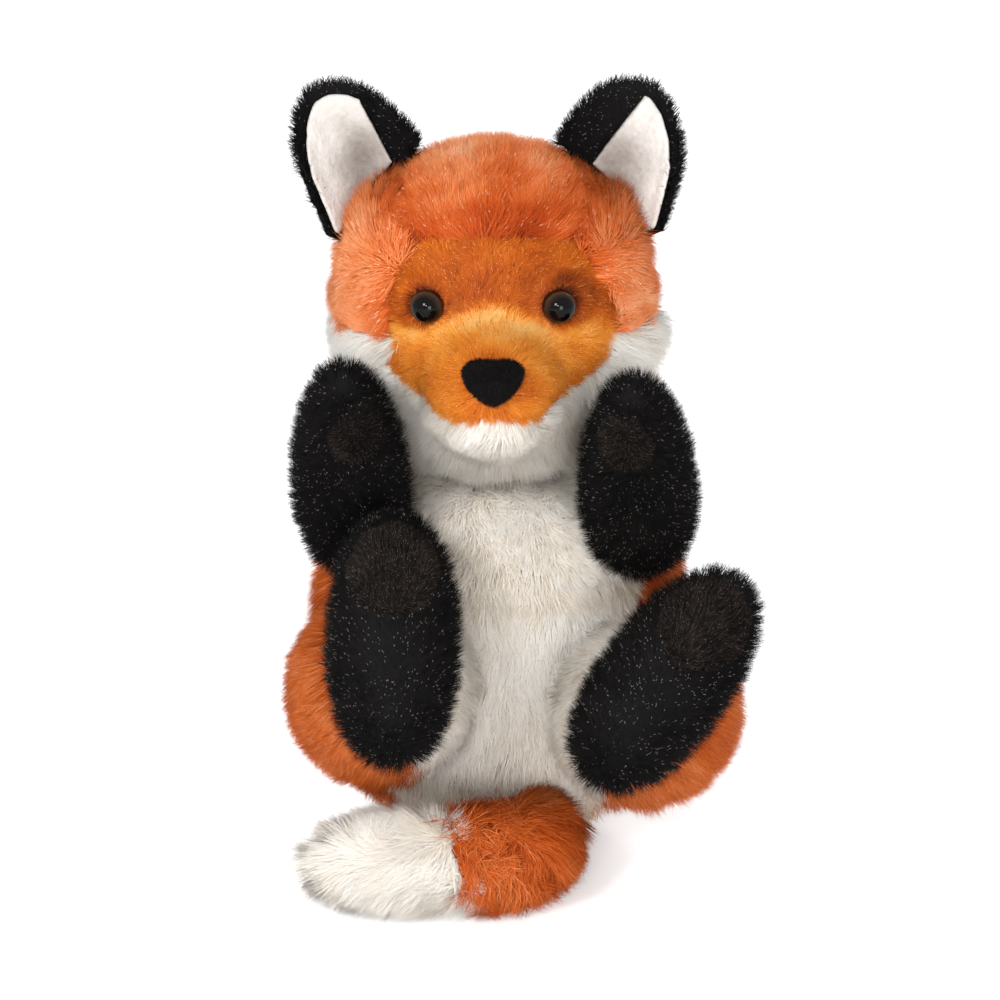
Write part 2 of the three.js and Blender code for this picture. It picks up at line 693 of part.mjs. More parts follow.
// Tail: an orange tube from under the belly, bent to the fox's right, with a white tip
const tailMiddleHeight = tailRadius - sitFlat;
const tailForm = {
  spine: [
    point(tailRootAside, -tailRootForward, tailMiddleHeight),
    point(tailBendAside, -tailBendForward, tailMiddleHeight),
    point(tailCrossAside, -tailCrossForward, tailMiddleHeight),
    point(tailRunAside, -tailRunForward, tailMiddleHeight),
    point(tailTipAside, -tailRunForward, tailMiddleHeight),
  ],
  across: up,
  halfWidth: tailRadius,
  halfDepth: tailRadius,
  widthShares: [0.95, 1, 1, 1, 0.98, 0.9],
  depthShares: [0.95, 1, 1, 1, 0.98, 0.9],
  fullness: 2.6,
  sides: limbSides,
  rings: bigRings,
};
const tailSeam = point(tailRootAside, -tailSeamForward, tailMiddleHeight);
const tailHinge = addHinge('tail_swing', tailSeam, up, -tailSwing, tailSwing);
const tailRoom = roomSweptBy(torsoSolid(-seamGap), tailHinge);
const tailShell = stuffedForm(tailForm).subtract(stuffedForm(tailForm, longFur))
  .intersect(slab(0, farOut)).subtract(tailRoom);
const tailPanels = sewnPanels(tailShell, {
  tail_tip: (grow) => box(
    point(-farOut, -farOut, 0), point(tailTipSeamAside + grow, farOut, farOut),
  ),
  tail_base: () => slab(0, farOut),
});
const tailFibre = stuffedForm(tailForm, longFur + seamGap).subtract(tailRoom);
const tail = movingPart('tail');
addPiece(tail, 'tail_tip', tailPanels.tail_tip, furWhite, furRoughness);
addPiece(tail, 'tail_base', tailPanels.tail_base, backOrange, furRoughness);
addPiece(tail, 'tail_stuffing', tailFibre, fillingWhite, fillingRoughness);

export default fox;
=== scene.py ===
import math

import bmesh
import bpy
import numpy as np
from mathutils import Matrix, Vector
from mathutils.bvhtree import BVHTree
from mathutils.kdtree import KDTree


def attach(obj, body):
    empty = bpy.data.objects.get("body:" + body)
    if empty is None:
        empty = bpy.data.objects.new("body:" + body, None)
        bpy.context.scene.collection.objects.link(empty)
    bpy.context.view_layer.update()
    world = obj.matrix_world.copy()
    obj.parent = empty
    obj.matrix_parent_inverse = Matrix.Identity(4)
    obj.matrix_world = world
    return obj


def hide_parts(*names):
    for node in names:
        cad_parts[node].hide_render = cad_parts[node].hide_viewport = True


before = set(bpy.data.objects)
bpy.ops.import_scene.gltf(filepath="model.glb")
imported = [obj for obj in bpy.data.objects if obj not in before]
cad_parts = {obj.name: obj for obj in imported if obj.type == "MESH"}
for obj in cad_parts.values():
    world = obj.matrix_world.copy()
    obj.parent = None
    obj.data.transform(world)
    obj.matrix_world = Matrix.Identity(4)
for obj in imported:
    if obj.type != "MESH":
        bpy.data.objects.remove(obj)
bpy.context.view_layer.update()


# Filling of the torso: loose polyester fibre over a small cloth pouch of plastic pellets, which
# weighs the seat. The fibre is a soft white mass with lumps; the pouch is plain woven cotton.
MM = 0.001


def linear(colour):
    """A colour written as six hex digits, as the linear numbers that a shader takes."""
    parts = [int(colour[i:i + 2], 16) / 255 for i in (0, 2, 4)]
    return tuple(
        part / 12.92 if part <= 0.04045 else ((part + 0.055) / 1.055) ** 2.4 for part in parts
    ) + (1.0,)


class Socket:
    """A socket of a material, with sums written as plain sums."""

    def __init__(self, tree, socket=None):
        self.tree = tree
        self.socket = socket

    def node(self, kind, settings, values, output=0):
        """Adds a node: its settings first, then the values or links of its sockets."""
        made = self.tree.nodes.new(kind)
        for key, value in settings.items():
            if key == "stops":
                steps = made.color_ramp.elements
                for _ in value[2:]:
                    steps.new(0.5)
                for step, (place, colour) in zip(steps, value):
                    step.position = place
                    step.color = colour
            else:
                setattr(made, key, value)
        for key, value in values.items():
            if isinstance(value, Socket):
                self.tree.links.new(value.socket, made.inputs[key])
            else:
                made.inputs[key].default_value = value
        return Socket(self.tree, made.outputs[output])

    def sum_of(self, operation, one, other):
        return self.node("ShaderNodeMath", {"operation": operation}, {0: one, 1: other})

    def __add__(self, other):
        return self.sum_of("ADD", self, other)

    def __radd__(self, other):
        return self.sum_of("ADD", other, self)

    def __sub__(self, other):
        return self.sum_of("SUBTRACT", self, other)

    def __mul__(self, other):
        return self.sum_of("MULTIPLY", self, other)

    def __rmul__(self, other):
        return self.sum_of("MULTIPLY", other, self)

    def __pow__(self, other):
        return self.sum_of("POWER", self, other)


def finish_of(name, **constants):
    """A new material: its Principled shader, and a start for the expressions on it."""
    made = bpy.data.materials.new(name)
    made.use_nodes = True
    shader = made.node_tree.nodes["Principled BSDF"]
    for key, value in constants.items():
        shader.inputs[key.replace("_", " ").title().replace("Ior", "IOR")].default_value = value
    return made, shader, Socket(made.node_tree)


def feed(shader, **links):
    for key, value in links.items():
        shader.id_data.links.new(value.socket, shader.inputs[key.replace("_", " ").title()])


def noise_of(start, scale, detail=2.0):
    """Noise that sticks to the piece, with grains of about 1 / scale metres."""
    place = start.node("ShaderNodeTexCoord", {}, {}, "Object")
    return start.node(
        "ShaderNodeTexNoise", {}, {"Vector": place, "Scale": scale, "Detail": detail}, "Fac"
    )


def coloured(start, value, *stops):
    """The colour that a value stands for, by stops of a value and six hex digits."""
    return start.node(
        "ShaderNodeValToRGB", {"stops": [(place, linear(shade)) for place, shade in stops]},
        {0: value},
    )


def raised(start, height, strength, depth):
    """A bump by some height, depth metres deep."""
    return start.node(
        "ShaderNodeBump", {}, {"Height": height, "Strength": strength, "Distance": depth}
    )


def fibre_finish(name, dark, pale, scale, depth):
    """Loose fibre or woven cloth: two colours mixed by fine noise, with the same noise as bump."""
    made, shader, start = finish_of(name, roughness=0.95, sheen_weight=0.3)
    grain = noise_of(start, scale, 5.0)
    feed(
        shader, base_color=coloured(start, grain, (0.35, dark), (0.65, pale)),
        normal=raised(start, grain, 0.6, depth),
    )
    return made


def alone(*objects):
    """Selects these objects and nothing else."""
    bpy.ops.object.select_all(action="DESELECT")
    for item in objects:
        item.select_set(True)
    bpy.context.view_layer.objects.active = objects[0]


def merged_copy(name, *nodes):
    """One new object from the CAD solids of some nodes, with its loose corners merged."""
    copies = []
    for node in nodes:
        item = bpy.data.objects.new(name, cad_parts[node].data.copy())
        bpy.context.scene.collection.objects.link(item)
        item.data.materials.clear()
        copies.append(item)
    alone(*copies)
    if len(copies) > 1:
        bpy.ops.object.join()
    bpy.ops.object.mode_set(mode="EDIT")
    bpy.ops.mesh.select_all(action="SELECT")
    bpy.ops.mesh.remove_doubles(threshold=0.00001)
    bpy.ops.object.mode_set(mode="OBJECT")
    return copies[0]


def finished_with(item, kind, **settings):
    """Adds a modifier and applies it."""
    alone(item)
    modifier = item.modifiers.new(kind.title(), kind)
    for key, value in settings.items():
        setattr(modifier, key, value)
    bpy.ops.object.modifier_apply(modifier=modifier.name)


def corners_of(mesh):
    """The corners of a mesh and their outward directions, in millimetres."""
    places = np.empty(len(mesh.vertices) * 3, np.float32)
    outwards = np.empty(len(mesh.vertices) * 3, np.float32)
    mesh.vertices.foreach_get("co", places)
    mesh.vertices.foreach_get("normal", outwards)
    return places.reshape(-1, 3).astype(float) / MM, outwards.reshape(-1, 3).astype(float)


def place_corners(mesh, places):
    mesh.vertices.foreach_set("co", (places * MM).astype(np.float32).ravel())
    mesh.update()


def rounded(item, voxel, passes, proud):
    """Gives a faceted form one even, smooth skin that stands proud of it by so many mm."""
    faceted = BVHTree.FromObject(item, bpy.context.evaluated_depsgraph_get())
    finished_with(item, "REMESH", mode="VOXEL", voxel_size=voxel * MM)
    finished_with(item, "SMOOTH", factor=0.5, iterations=passes)
    places, outwards = corners_of(item.data)
    sunk = 0.0
    sample = range(0, len(places), max(1, len(places) // 1500))  # enough for the average
    for i in sample:
        hit = faceted.find_nearest(Vector(places[i] * MM))
        sunk += np.dot(np.array(hit[0]) / MM - places[i], outwards[i]) / len(sample)
    place_corners(item.data, places + outwards * (proud + sunk))
    bpy.ops.object.shade_smooth()
    return item


def stuffing(name, nodes, body, finish, voxel=2.0, proud=-1.8):
    """A filling in the room that its CAD solid holds, a little inside the cloth."""
    item = rounded(merged_copy(name, *nodes), voxel, 6, proud)
    item.data.materials.append(finish)
    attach(item, body)
    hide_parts(*nodes)


fibre = fibre_finish("fibre_filling", "CFCBC4", "F4F3EF", 260.0, 0.0012)
pouch_cotton = fibre_finish("pouch_cotton", "BDB8AE", "DBD7CF", 2400.0, 0.0002)
pellets = fibre_finish("pellet_heap", "B9AE93", "EFE8D6", 420.0, 0.0016)
stuffing("torso_filling", ["body_stuffing"], "torso", fibre)
stuffing("seat_pouch", ["bean_pouch"], "torso", pouch_cotton, 1.5)
stuffing("seat_pellets", ["bean_fill"], "torso", pellets)


# Torso: knitted plush, white down the front in a chest and a belly panel, rust orange round the
# back in two halves and under the seat. The pile is combed down and lies over the seams.
def drift(places, size, seed, waves=7):
    """Smooth seeded noise from -1 to 1, with patches of about this size in mm."""
    source = np.random.default_rng(seed)
    ways = source.normal(size=(waves, 3)) * (2.2 / size)
    phases = source.uniform(0, 2 * math.pi, waves)
    return np.clip(np.sin(places @ ways.T + phases).sum(1) / 3.2, -1, 1)


def ramp(values, start, span):
    """0 up to start and 1 from start + span on; with a negative span it counts downwards."""
    return np.clip((values - start) / span, 0, 1)


def bump(*terms):
    """1 where each value is at its middle, falling off over its width: (value, middle, width)."""
    return np.exp(-sum(((values - middle) / width) ** 2 for values, middle, width in terms))


def unit(directions):
    return directions / np.maximum(np.linalg.norm(directions, axis=1, keepdims=True), 1e-9)


SEAM_WIDTH = 2.5  # mm over which the cloth dips into a seam
PAD_EDGE = 1.5  # mm over which a padded panel rises from its edge
CLOTH_REACH = 4.6  # mm from the nearest panel: cloth further off has another part sewn over it
PILE_REACH = 4.8  # the same for the roots of the pile
PRESSURE = 4.0
PRESSED_FRAMES = 20


class Hide:
    """The closed cloth of one stuffed part, and how far each point of it is from each panel.

    It stands proud of its fillings by so many mm. seam is how deep it dips along the seams, padded
    gives some panels a thickness, and a claim moves a panel's seam inwards by so many mm.
    """

    def __init__(
        self, name, fillings, panels, voxel, passes, proud, padded=None, seam=0.7, claims=None
    ):
        item = rounded(merged_copy(name, *fillings), voxel, passes, proud)
        finished_with(item, "TRIANGULATE")
        self.item = item
        self.panels = panels
        places, outwards = corners_of(item.data)
        reach = np.empty((len(places), len(panels)))
        for column, panel in enumerate(panels):
            form = merged_copy("panel_form", panel)
            tree = BVHTree.FromObject(form, bpy.context.evaluated_depsgraph_get())
            for row, place in enumerate(places):
                reach[row, column] = tree.find_nearest(Vector(place * MM))[3] / MM
            bpy.data.objects.remove(form)
        self.near = reach.min(1)
        for panel, claim in (claims or {}).items():
            reach[:, panels.index(panel)] += claim(places, reach)
        closeness = np.zeros(len(places))
        if seam:
            near = np.sort(reach, 1)
            closeness = np.clip(1 - (near[:, 1] - near[:, 0]) / SEAM_WIDTH, 0, 1)
            places = places - outwards * (seam * closeness ** 2)[:, None]
        for panel, thickness in (padded or {}).items():
            column = panels.index(panel)
            others = np.delete(reach, column, 1).min(1)
            inside = ramp(others - reach[:, column], 0, PAD_EDGE)
            places = places + outwards * (thickness * inside)[:, None]
        place_corners(item.data, places)
        self.places, self.outwards = corners_of(item.data)
        self.reach, self.held = reach, closeness
        self.faces = np.array([face.vertices[:] for face in item.data.polygons])

    def moved(self, steps):
        """Moves the cloth by so many mm."""
        place_corners(self.item.data, self.places + steps)
        self.places, self.outwards = corners_of(self.item.data)

    def filled_out(self, most):
        """Presses the cloth out by its filling, by up to so many mm, held along its seams."""
        alone(self.item)
        held = self.item.vertex_groups.new(name="seams")
        for i in np.flatnonzero(self.held > 0.05):
            held.add([int(i)], float(self.held[i]), "REPLACE")
        cloth = self.item.modifiers.new("Cloth", "CLOTH")
        cloth.settings.use_pressure = True
        cloth.settings.uniform_pressure_force = PRESSURE
        cloth.settings.effector_weights.gravity = 0
        cloth.settings.vertex_group_mass = "seams"
        cloth.settings.quality = 4
        scene = bpy.context.scene
        for step in range(PRESSED_FRAMES):
            scene.frame_set(step + 1)
        pressed = self.item.evaluated_get(bpy.context.evaluated_depsgraph_get()).to_mesh()
        moved = corners_of(pressed)[0] - self.places
        far = np.linalg.norm(moved, axis=1, keepdims=True)
        self.item.modifiers.remove(cloth)
        scene.frame_set(1)
        place_corners(
            self.item.data, self.places + moved * np.minimum(1, most / np.maximum(far, 1e-9))
        )
        finished_with(self.item, "SMOOTH", factor=0.5, iterations=1)
        self.places, self.outwards = corners_of(self.item.data)

    def drawn_taut(self, passes, most, where):
        """Lets the cloth bridge the hollows of its filling, by up to so many mm."""
        edges = np.array([edge.vertices[:] for edge in self.item.data.edges])
        weight = where(self.places)
        start, moved = self.places.copy(), self.places.copy()
        valence = np.bincount(edges.ravel(), minlength=len(start))[:, None]
        for _ in range(passes):
            total = np.zeros_like(moved)
            np.add.at(total, edges[:, 0], moved[edges[:, 1]])
            np.add.at(total, edges[:, 1], moved[edges[:, 0]])
            rise = ((total / valence - moved) * self.outwards).sum(1)
            moved += self.outwards * (np.clip(rise, 0, None) * weight)[:, None]
            off = ((moved - start) * self.outwards).sum(1)
            moved -= self.outwards * np.clip(off - most, 0, None)[:, None]
        self.moved(moved - start)

    def patch(self, panel, name, whole=False):
        """The cloth of one panel as its own object, half a millimetre thick."""
        column = self.panels.index(panel)
        middle = self.reach[self.faces].mean(1)
        near = self.near[self.faces].mean(1)
        mine = (middle.argmin(1) == column) & (near < CLOTH_REACH) | whole
        item = self.item.copy()
        item.data = self.item.data.copy()
        item.name = name
        bpy.context.scene.collection.objects.link(item)
        shape = bmesh.new()
        shape.from_mesh(item.data)
        shape.faces.ensure_lookup_table()
        others = [shape.faces[i] for i in np.flatnonzero(~mine)]
        bmesh.ops.delete(shape, geom=others, context="FACES")
        shape.to_mesh(item.data)
        shape.free()
        if not whole:
            finished_with(item, "SOLIDIFY", thickness=0.5 * MM, offset=-1.0)
        return item


def strand_shape(name, rings, closed=False):
    """One fibre, three-sided and pointed, with rings of some girth at shares of its length."""
    bpy.ops.object.select_all(action="DESELECT")
    bpy.ops.mesh.primitive_cone_add(
        vertices=3, radius1=1, radius2=0, depth=1, end_fill_type="NOTHING", location=(0, 0, 0.5)
    )
    item = bpy.context.object
    item.name = name
    bpy.ops.object.mode_set(mode="EDIT")
    for share, _ in rings:
        bpy.ops.mesh.select_all(action="SELECT")
        bpy.ops.mesh.bisect(plane_co=(0, 0, share), plane_no=(0, 0, 1))
    if closed:
        bpy.ops.mesh.select_all(action="DESELECT")
        grip = bmesh.from_edit_mesh(item.data)
        for corner in grip.verts:
            corner.select = corner.co.z < -0.4
        bmesh.update_edit_mesh(item.data)
        bpy.ops.mesh.merge(type="CENTER")
    bpy.ops.mesh.select_all(action="SELECT")
    bpy.ops.mesh.quads_convert_to_tris()
    bpy.ops.object.mode_set(mode="OBJECT")
    corners = np.array([corner.co[:] for corner in item.data.vertices])
    corners[:, 2] -= corners[:, 2].min()
    for share, girth in rings:
        level = np.abs(corners[:, 2] - share) < 0.01
        across = np.linalg.norm(corners[level, :2], axis=1, keepdims=True)
        corners[level, :2] *= girth / across
    faces = np.array([face.vertices[:] for face in item.data.polygons])
    bpy.data.objects.remove(item)
    return corners, faces


short_strand = strand_shape("short_strand", [])
long_strand = strand_shape("long_strand", [(0.45, 1.0)], closed=True)
BEND = 0.45  # how high over its root a strand is drawn before it bends, as a share of its length
MOST_TILT = 1.45  # radians from upright
FLOOR_GAP = 0.2  # mm over the floor, below which no strand goes
ROUNDNESS = 0.32  # how much of a strand's own roundness shows, against the lie of the cloth


def planted(
    hide, panel, seed, density, length, lean, comb, width, tone, strand=short_strand,
    clump=(0.0, 1.0), stray=0.35, swirl=0.7, keep=None, keep_reach=None,
):
    """Plants a panel's pile. Each strand stands on the cloth and bends over as it is combed.

    density is in strands per mm2, length and width in mm, lean in degrees from upright, and comb
    gives the way it lies. stray turns single strands and swirl whole patches off that way. clump
    is how far the tips draw together, and how many mm apart the clumps are. keep and keep_reach
    leave strands out, by their place or by how far they are from each panel.
    """
    source = np.random.default_rng(seed)
    column = hide.panels.index(panel)
    faces = hide.faces[(hide.reach.argmin(1) == column)[hide.faces].any(1)]
    a, b, c = (hide.places[faces[:, i]] for i in range(3))
    areas = np.linalg.norm(np.cross(b - a, c - a), axis=1) / 2
    sums = np.cumsum(areas)
    count = int(sums[-1] * density)
    picked = np.searchsorted(sums, source.random(count) * sums[-1])
    one, two = np.sqrt(source.random(count)), source.random(count)
    shares = np.stack([1 - one, one * (1 - two), one * two], 1)
    blend = lambda values: (values[faces[picked]] * shares[:, :, None]).sum(1)
    roots, outwards, reach = blend(hide.places), unit(blend(hide.outwards)), blend(hide.reach)
    mine = (reach.argmin(1) == column) & (blend(hide.near[:, None])[:, 0] < PILE_REACH)
    if keep is not None:
        mine &= keep(roots)
    if keep_reach is not None:
        mine &= keep_reach(reach, outwards)
    roots, outwards = roots[mine], outwards[mine]
    count = len(roots)
    of_each = lambda value: value(roots) if callable(value) else np.full(count, float(value))
    reach_out = of_each(length) * source.normal(1, 0.12, count).clip(0.6, 1.35)
    tilt = np.radians(of_each(lean) + source.normal(0, 9, count)).clip(0, MOST_TILT)
    way = unit(comb(roots, outwards)) + source.normal(0, stray, (count, 3))
    way += swirl * np.stack([drift(roots, 5, seed + 100 * k) for k in (1, 2, 3)], 1)
    way = unit(way - outwards * (way * outwards).sum(1, keepdims=True))
    tips = roots + (
        outwards * np.cos(tilt)[:, None] + way * np.sin(tilt)[:, None]
    ) * reach_out[:, None]
    pull, apart = clump
    if pull:
        centres = source.choice(count, max(1, int(count / (density * apart * apart))), False)
        tree = KDTree(len(centres))
        for k, i in enumerate(centres):
            tree.insert(roots[i], k)
        tree.balance()
        nearest = np.array([tree.find(root)[1] for root in roots])
        draw = pull * source.uniform(0.5, 1, count)
        leader = centres[nearest]
        tips += (tips[leader] - tips) * draw[:, None]
    bends = roots + outwards * (reach_out * BEND)[:, None]
    shape, sides = strand
    along = shape[:, 2]
    level = along[None, :, None]
    has_rings = len(shape) > 4
    spine = (
        roots[:, None] * (1 - level) ** 2
        + bends[:, None] * 2 * level * (1 - level)
        + tips[:, None] * level ** 2
    ) if has_rings else (
        roots[:, None] * (1 - level) + tips[:, None] * level
    )
    ahead = unit(tips - roots)
    spin = unit(np.cross(ahead, source.normal(size=(count, 3))))
    across = np.cross(ahead, spin)
    girth = (of_each(width) / 2 * source.uniform(0.75, 1.25, count))[:, None, None]
    corners = spine + girth * (
        shape[None, :, 0, None] * spin[:, None] + shape[None, :, 1, None] * across[:, None]
    )
    corners[:, :, 2] = np.maximum(corners[:, :, 2], FLOOR_GAP)
    tones = np.clip(tone(roots, source), 0.02, 0.98)
    facing = unit(corners - spine + 1e-6) * ROUNDNESS + outwards[:, None]
    return corners, sides, tones, facing


def pile_mesh(name, corners, sides, facing):
    """The mesh of some planted strands, shaded by the ways that their corners face."""
    count, points, _ = corners.shape
    mesh = bpy.data.meshes.new(name)
    mesh.vertices.add(count * points)
    mesh.vertices.foreach_set("co", (corners * MM).astype(np.float32).ravel())
    faces = (sides[None] + (np.arange(count) * points)[:, None, None]).reshape(-1, 3)
    mesh.loops.add(faces.size)
    mesh.loops.foreach_set("vertex_index", faces.astype(np.int32).ravel())
    mesh.polygons.add(len(faces))
    mesh.polygons.foreach_set("loop_start", np.arange(0, faces.size, 3, dtype=np.int32))
    mesh.update(calc_edges=True)
    mesh.polygons.foreach_set("use_smooth", np.ones(len(faces), bool))
    facing = facing / np.linalg.norm(facing, axis=2, keepdims=True)
    mesh.normals_split_custom_set_from_vertices(facing.reshape(-1, 3).astype(np.float32))
    return mesh


PILE_MAP = "OFBake"  # the map that fur is painted by: tone of the strand, place along it
MAP_ROOT, MAP_LENGTH = 0.08, 0.88  # where a strand starts in the map, and how long it is there
MAP_GIRTH = 0.008
# The cloth is coloured like the strands' roots, so it takes their painted shade.
CLOTH_TONE, CLOTH_ALONG = 0.4, 0.03  # the spot of the map that colours the cloth


def pile_map(mesh, shape, sides, tones):
    """Writes each strand's tone and the share along it into its map."""
    wide = np.where(np.arange(len(shape)) % 2, MAP_GIRTH, -MAP_GIRTH)
    across = tones[:, None] + wide[None]
    up_strand = np.broadcast_to(MAP_ROOT + MAP_LENGTH * shape[:, 2][None], across.shape)
    both = np.stack([across, up_strand], 2)[:, sides.ravel()]
    layer = mesh.uv_layers.new(name=PILE_MAP)
    layer.uv.foreach_set("vector", both.astype(np.float32).ravel())


def furred(name, hide, panel, body, finish, slot, fill, strand=short_strand, whole=False, **pile):
    """A fur panel: its cloth and its pile as one piece, in place of the CAD panel."""
    corners, sides, tones, facing = planted(hide, panel, strand=strand, **pile)
    mesh = pile_mesh(name + "_pile", corners, sides, facing)
    pile_map(mesh, strand[0], sides, tones)
    fur = bpy.data.objects.new(name + "_pile", mesh)
    bpy.context.scene.collection.objects.link(fur)
    cloth = hide.patch(panel, name, whole)
    layer = cloth.data.uv_layers.new(name=PILE_MAP)
    for face in cloth.data.polygons:
        for k, loop in enumerate(face.loop_indices):
            turn = 2 * math.pi * k / len(face.loop_indices)
            layer.data[loop].uv = (
                CLOTH_TONE + 0.01 * math.cos(turn), CLOTH_ALONG + 0.01 * math.sin(turn)
            )
    alone(cloth, fur)
    bpy.ops.object.join()
    cloth.data.materials.clear()
    cloth.data.materials.append(finish)
    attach(cloth, body)
    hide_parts(panel)


# Glints are painted highlights: a pale band on a few strands, for fibres that catch the lamps.
GLINT = 0.95  # strands of a tone above this are shiny
GLINT_DROP = 0.55  # how much lower the tone is that colours a shiny strand
GLINT_FROM, GLINT_TO = 0.66, 0.77  # the part of a shiny strand that catches the light


def fur_finish(name, stops, root_shade, roughness=0.6, gloss=0.1, tip=0.12, glint=None):
    """Fur coloured strand by strand. Painted shade darkens it towards the cloth, and painted light
    pales it towards the tip.

    The few strands whose tone is above GLINT are shiny fibres: a painted highlight shows where
    they catch the light in one spot.
    """
    made, shader, start = finish_of(name, roughness=roughness, specular_ior_level=gloss)
    chart = start.node("ShaderNodeUVMap", {"uv_map": PILE_MAP}, {})
    tone = start.node("ShaderNodeSeparateXYZ", {}, {0: chart}, "X")
    along = start.node("ShaderNodeSeparateXYZ", {}, {0: chart}, "Y")
    # A shiny strand is coloured at a lower tone, under its painted highlight.
    shiny = start.sum_of("GREATER_THAN", tone, GLINT)
    # The tip term pales each strand towards its end: painted light.
    colour = coloured(start, tone + (along - 0.6) * tip - shiny * GLINT_DROP, *stops)
    # Painted shade deep in the pile, lifting to full colour at the tip.
    light = root_shade + (1 - root_shade) * along ** 0.8
    shaded = start.node(
        "ShaderNodeVectorMath", {"operation": "SCALE"}, {0: colour, "Scale": light}
    )
    # The glint colour is a painted highlight on a short band of each shiny strand.
    if glint:
        above = start.sum_of("GREATER_THAN", along, GLINT_FROM)
        catching = shiny * above * start.sum_of("LESS_THAN", along, GLINT_TO)
        shaded = start.node(
            "ShaderNodeMix", {"data_type": "RGBA"}, {0: catching, 6: shaded, 7: linear(glint)}, 2
        )
    feed(shader, base_color=shaded)
    return made


def some_shiny(level, single, share, source):
    """Varies a tone strand by strand, and makes a share of the strands shiny, for a painted
    highlight.
    """
    level = np.clip(level + source.normal(0, single, len(level)), 0.02, GLINT - 0.02)
    return np.where(source.random(len(level)) < share, GLINT + 0.02, level)


def even_tone(middle, patch, single, seed, shiny=0.0):
    """Tone by patches of some mm and by single strands, with a share of shiny ones that get a
    painted highlight.
    """
    def tone(roots, source):
        level = middle + patch * (drift(roots, 12, seed) + drift(roots, 4, seed + 7)) / 1.4
        return some_shiny(level, single, shiny, source)
    return tone


def towards(x, y, z):
    """Combs all strands the same way."""
    return lambda roots, outwards: np.tile([float(x), float(y), float(z)], (len(roots), 1))


white_fur = fur_finish(
    "white_fur",
    [(0.0, "B49E86"), (0.3, "E2D2BC"), (0.55, "F6EDE0"), (0.8, "FFFBF4"), (1.0, "FFFEFB")],
    0.82, tip=0.1,
)
back_fur = fur_finish(
    "rust_back_fur", [(0.0, "7A2A0A"), (0.35, "B84C16"), (0.6, "DA6A28"), (1.0, "FFAE78")], 0.62
)
torso_panels = [
    "chest_panel", "belly_panel", "back_panel_left", "back_panel_right", "seat_panel"
]
torso_hide = Hide(
    "torso_hide", ["body_stuffing", "bean_pouch", "bean_fill"], torso_panels, 1.6, 24, -0.1
)
torso_hide.filled_out(1.3)


MIDDLE_X, NECK_Y, NECK_RADIUS = -1.3, -5, 6  # mm: the fox's middle and its neck's seam
SHOULDERS = 74  # mm: the torso is free of the neck below this height


def beside_neck(roots):
    return np.hypot(roots[:, 0] - MIDDLE_X, roots[:, 1] - NECK_Y) > NECK_RADIUS


def below_neck(roots):
    """Leaves out the patch that the neck is sewn to."""
    return beside_neck(roots) | (roots[:, 2] < SHOULDERS)


def over_seam(roots):
    """1 where the chest's lowest fur stands up over the belly's seam."""
    return ramp(roots[:, 2], 69, -4)


def belly_tone(roots, source):
    """Painted shade just under the fur of the chest, and darker, warmer painted shade between the
    legs.
    """
    height = roots[:, 2]
    # Painted shade: a band under the chest's overhang, and a fall towards the floor between the
    # legs.
    level = 0.64 - 0.2 * bump((height, 59, 1.9)) - 0.45 * ramp(height, 26, -16)
    level += 0.1 * drift(roots, 12, 12) + 0.06 * drift(roots, 4, 19)
    return some_shiny(level, 0.15, 0.0, source)


for panel, name, seed, length, lean, tone in (
    (
        "chest_panel", "chest_fur", 11, 6.2, lambda roots: 62 - 24 * over_seam(roots),
        even_tone(0.6, 0.14, 0.16, 11),
    ),
    (
        "belly_panel", "belly_fur", 12, lambda roots: 6.0 + 3.0 * (roots[:, 2] < 16), 62,
        belly_tone,
    ),
):
    furred(
        name, torso_hide, panel, "torso", white_fur, "white_fur", 0.7, seed=seed, density=14,
        length=length, lean=lean, comb=towards(0, -0.1, -1), width=0.18, stray=0.28, swirl=0.4,
        tone=tone, clump=(0.5, 1.7), keep=below_neck,
    )
for panel, name, seed, lean in (
    ("back_panel_left", "back_left_fur", 13, 60),
    ("back_panel_right", "back_right_fur", 14, 60),
    ("seat_panel", "seat_fur", 15, 72),
):
    furred(
        name, torso_hide, panel, "torso", back_fur, "back_fur", 0.7,
        seed=seed, density=6.6, length=7.5, lean=lean, width=0.24, stray=0.3, swirl=0.5,
        comb=lambda roots, outwards: np.array([0, 0, -1.0]) + outwards * 0.3,
        tone=even_tone(0.5, 0.14, 0.13, seed), clump=(0.45, 2.2),
        keep=lambda roots: below_neck(roots) & ((roots[:, 2] < 70) | (roots[:, 1] > 0)),
    )
bpy.data.objects.remove(torso_hide.item)


# Neck: the seam between head and torso, a ball of loose fibre that the head turns on. The fur of
# the chin and the chest hangs over it and hides it.
stuffing("neck_filling", ["neck_stuffing"], "neck", fibre, 1.4, -1.2)


# Head: one stuffed ball with a blunt muzzle. A gold face mask of short dense plush is sewn into
# longer orange plush on the crown, temples and nape, with white cheeks and a white chin.
NOSE = np.array([-1.3, -59.0, 109.6])
EYES = {"left": np.array([11.2, 119.0]), "right": np.array([-13.8, 119.0])}
stuffing("head_filling", ["head_stuffing"], "head", fibre)


def near_eye(roots):
    """How far each point of the face is from the nearer eye's middle, seen from the front."""
    return np.minimum(*[
        np.hypot(roots[:, 0] - eye[0], roots[:, 2] - eye[1]) for eye in EYES.values()
    ])


def face_comb(roots, outwards):
    """Short fur that runs up and out from the nose, and away from the rims of the eyes."""
    away = roots - NOSE
    away[:, 1] *= 0.4
    away = unit(away)
    for eye in EYES.values():
        off = (roots - [eye[0], 0, eye[1]]) * [1, 0, 1]
        near = ramp(np.linalg.norm(off, axis=1), 5.5, -2)[:, None]
        away = away * (1 - near) + unit(off) * near
    return away


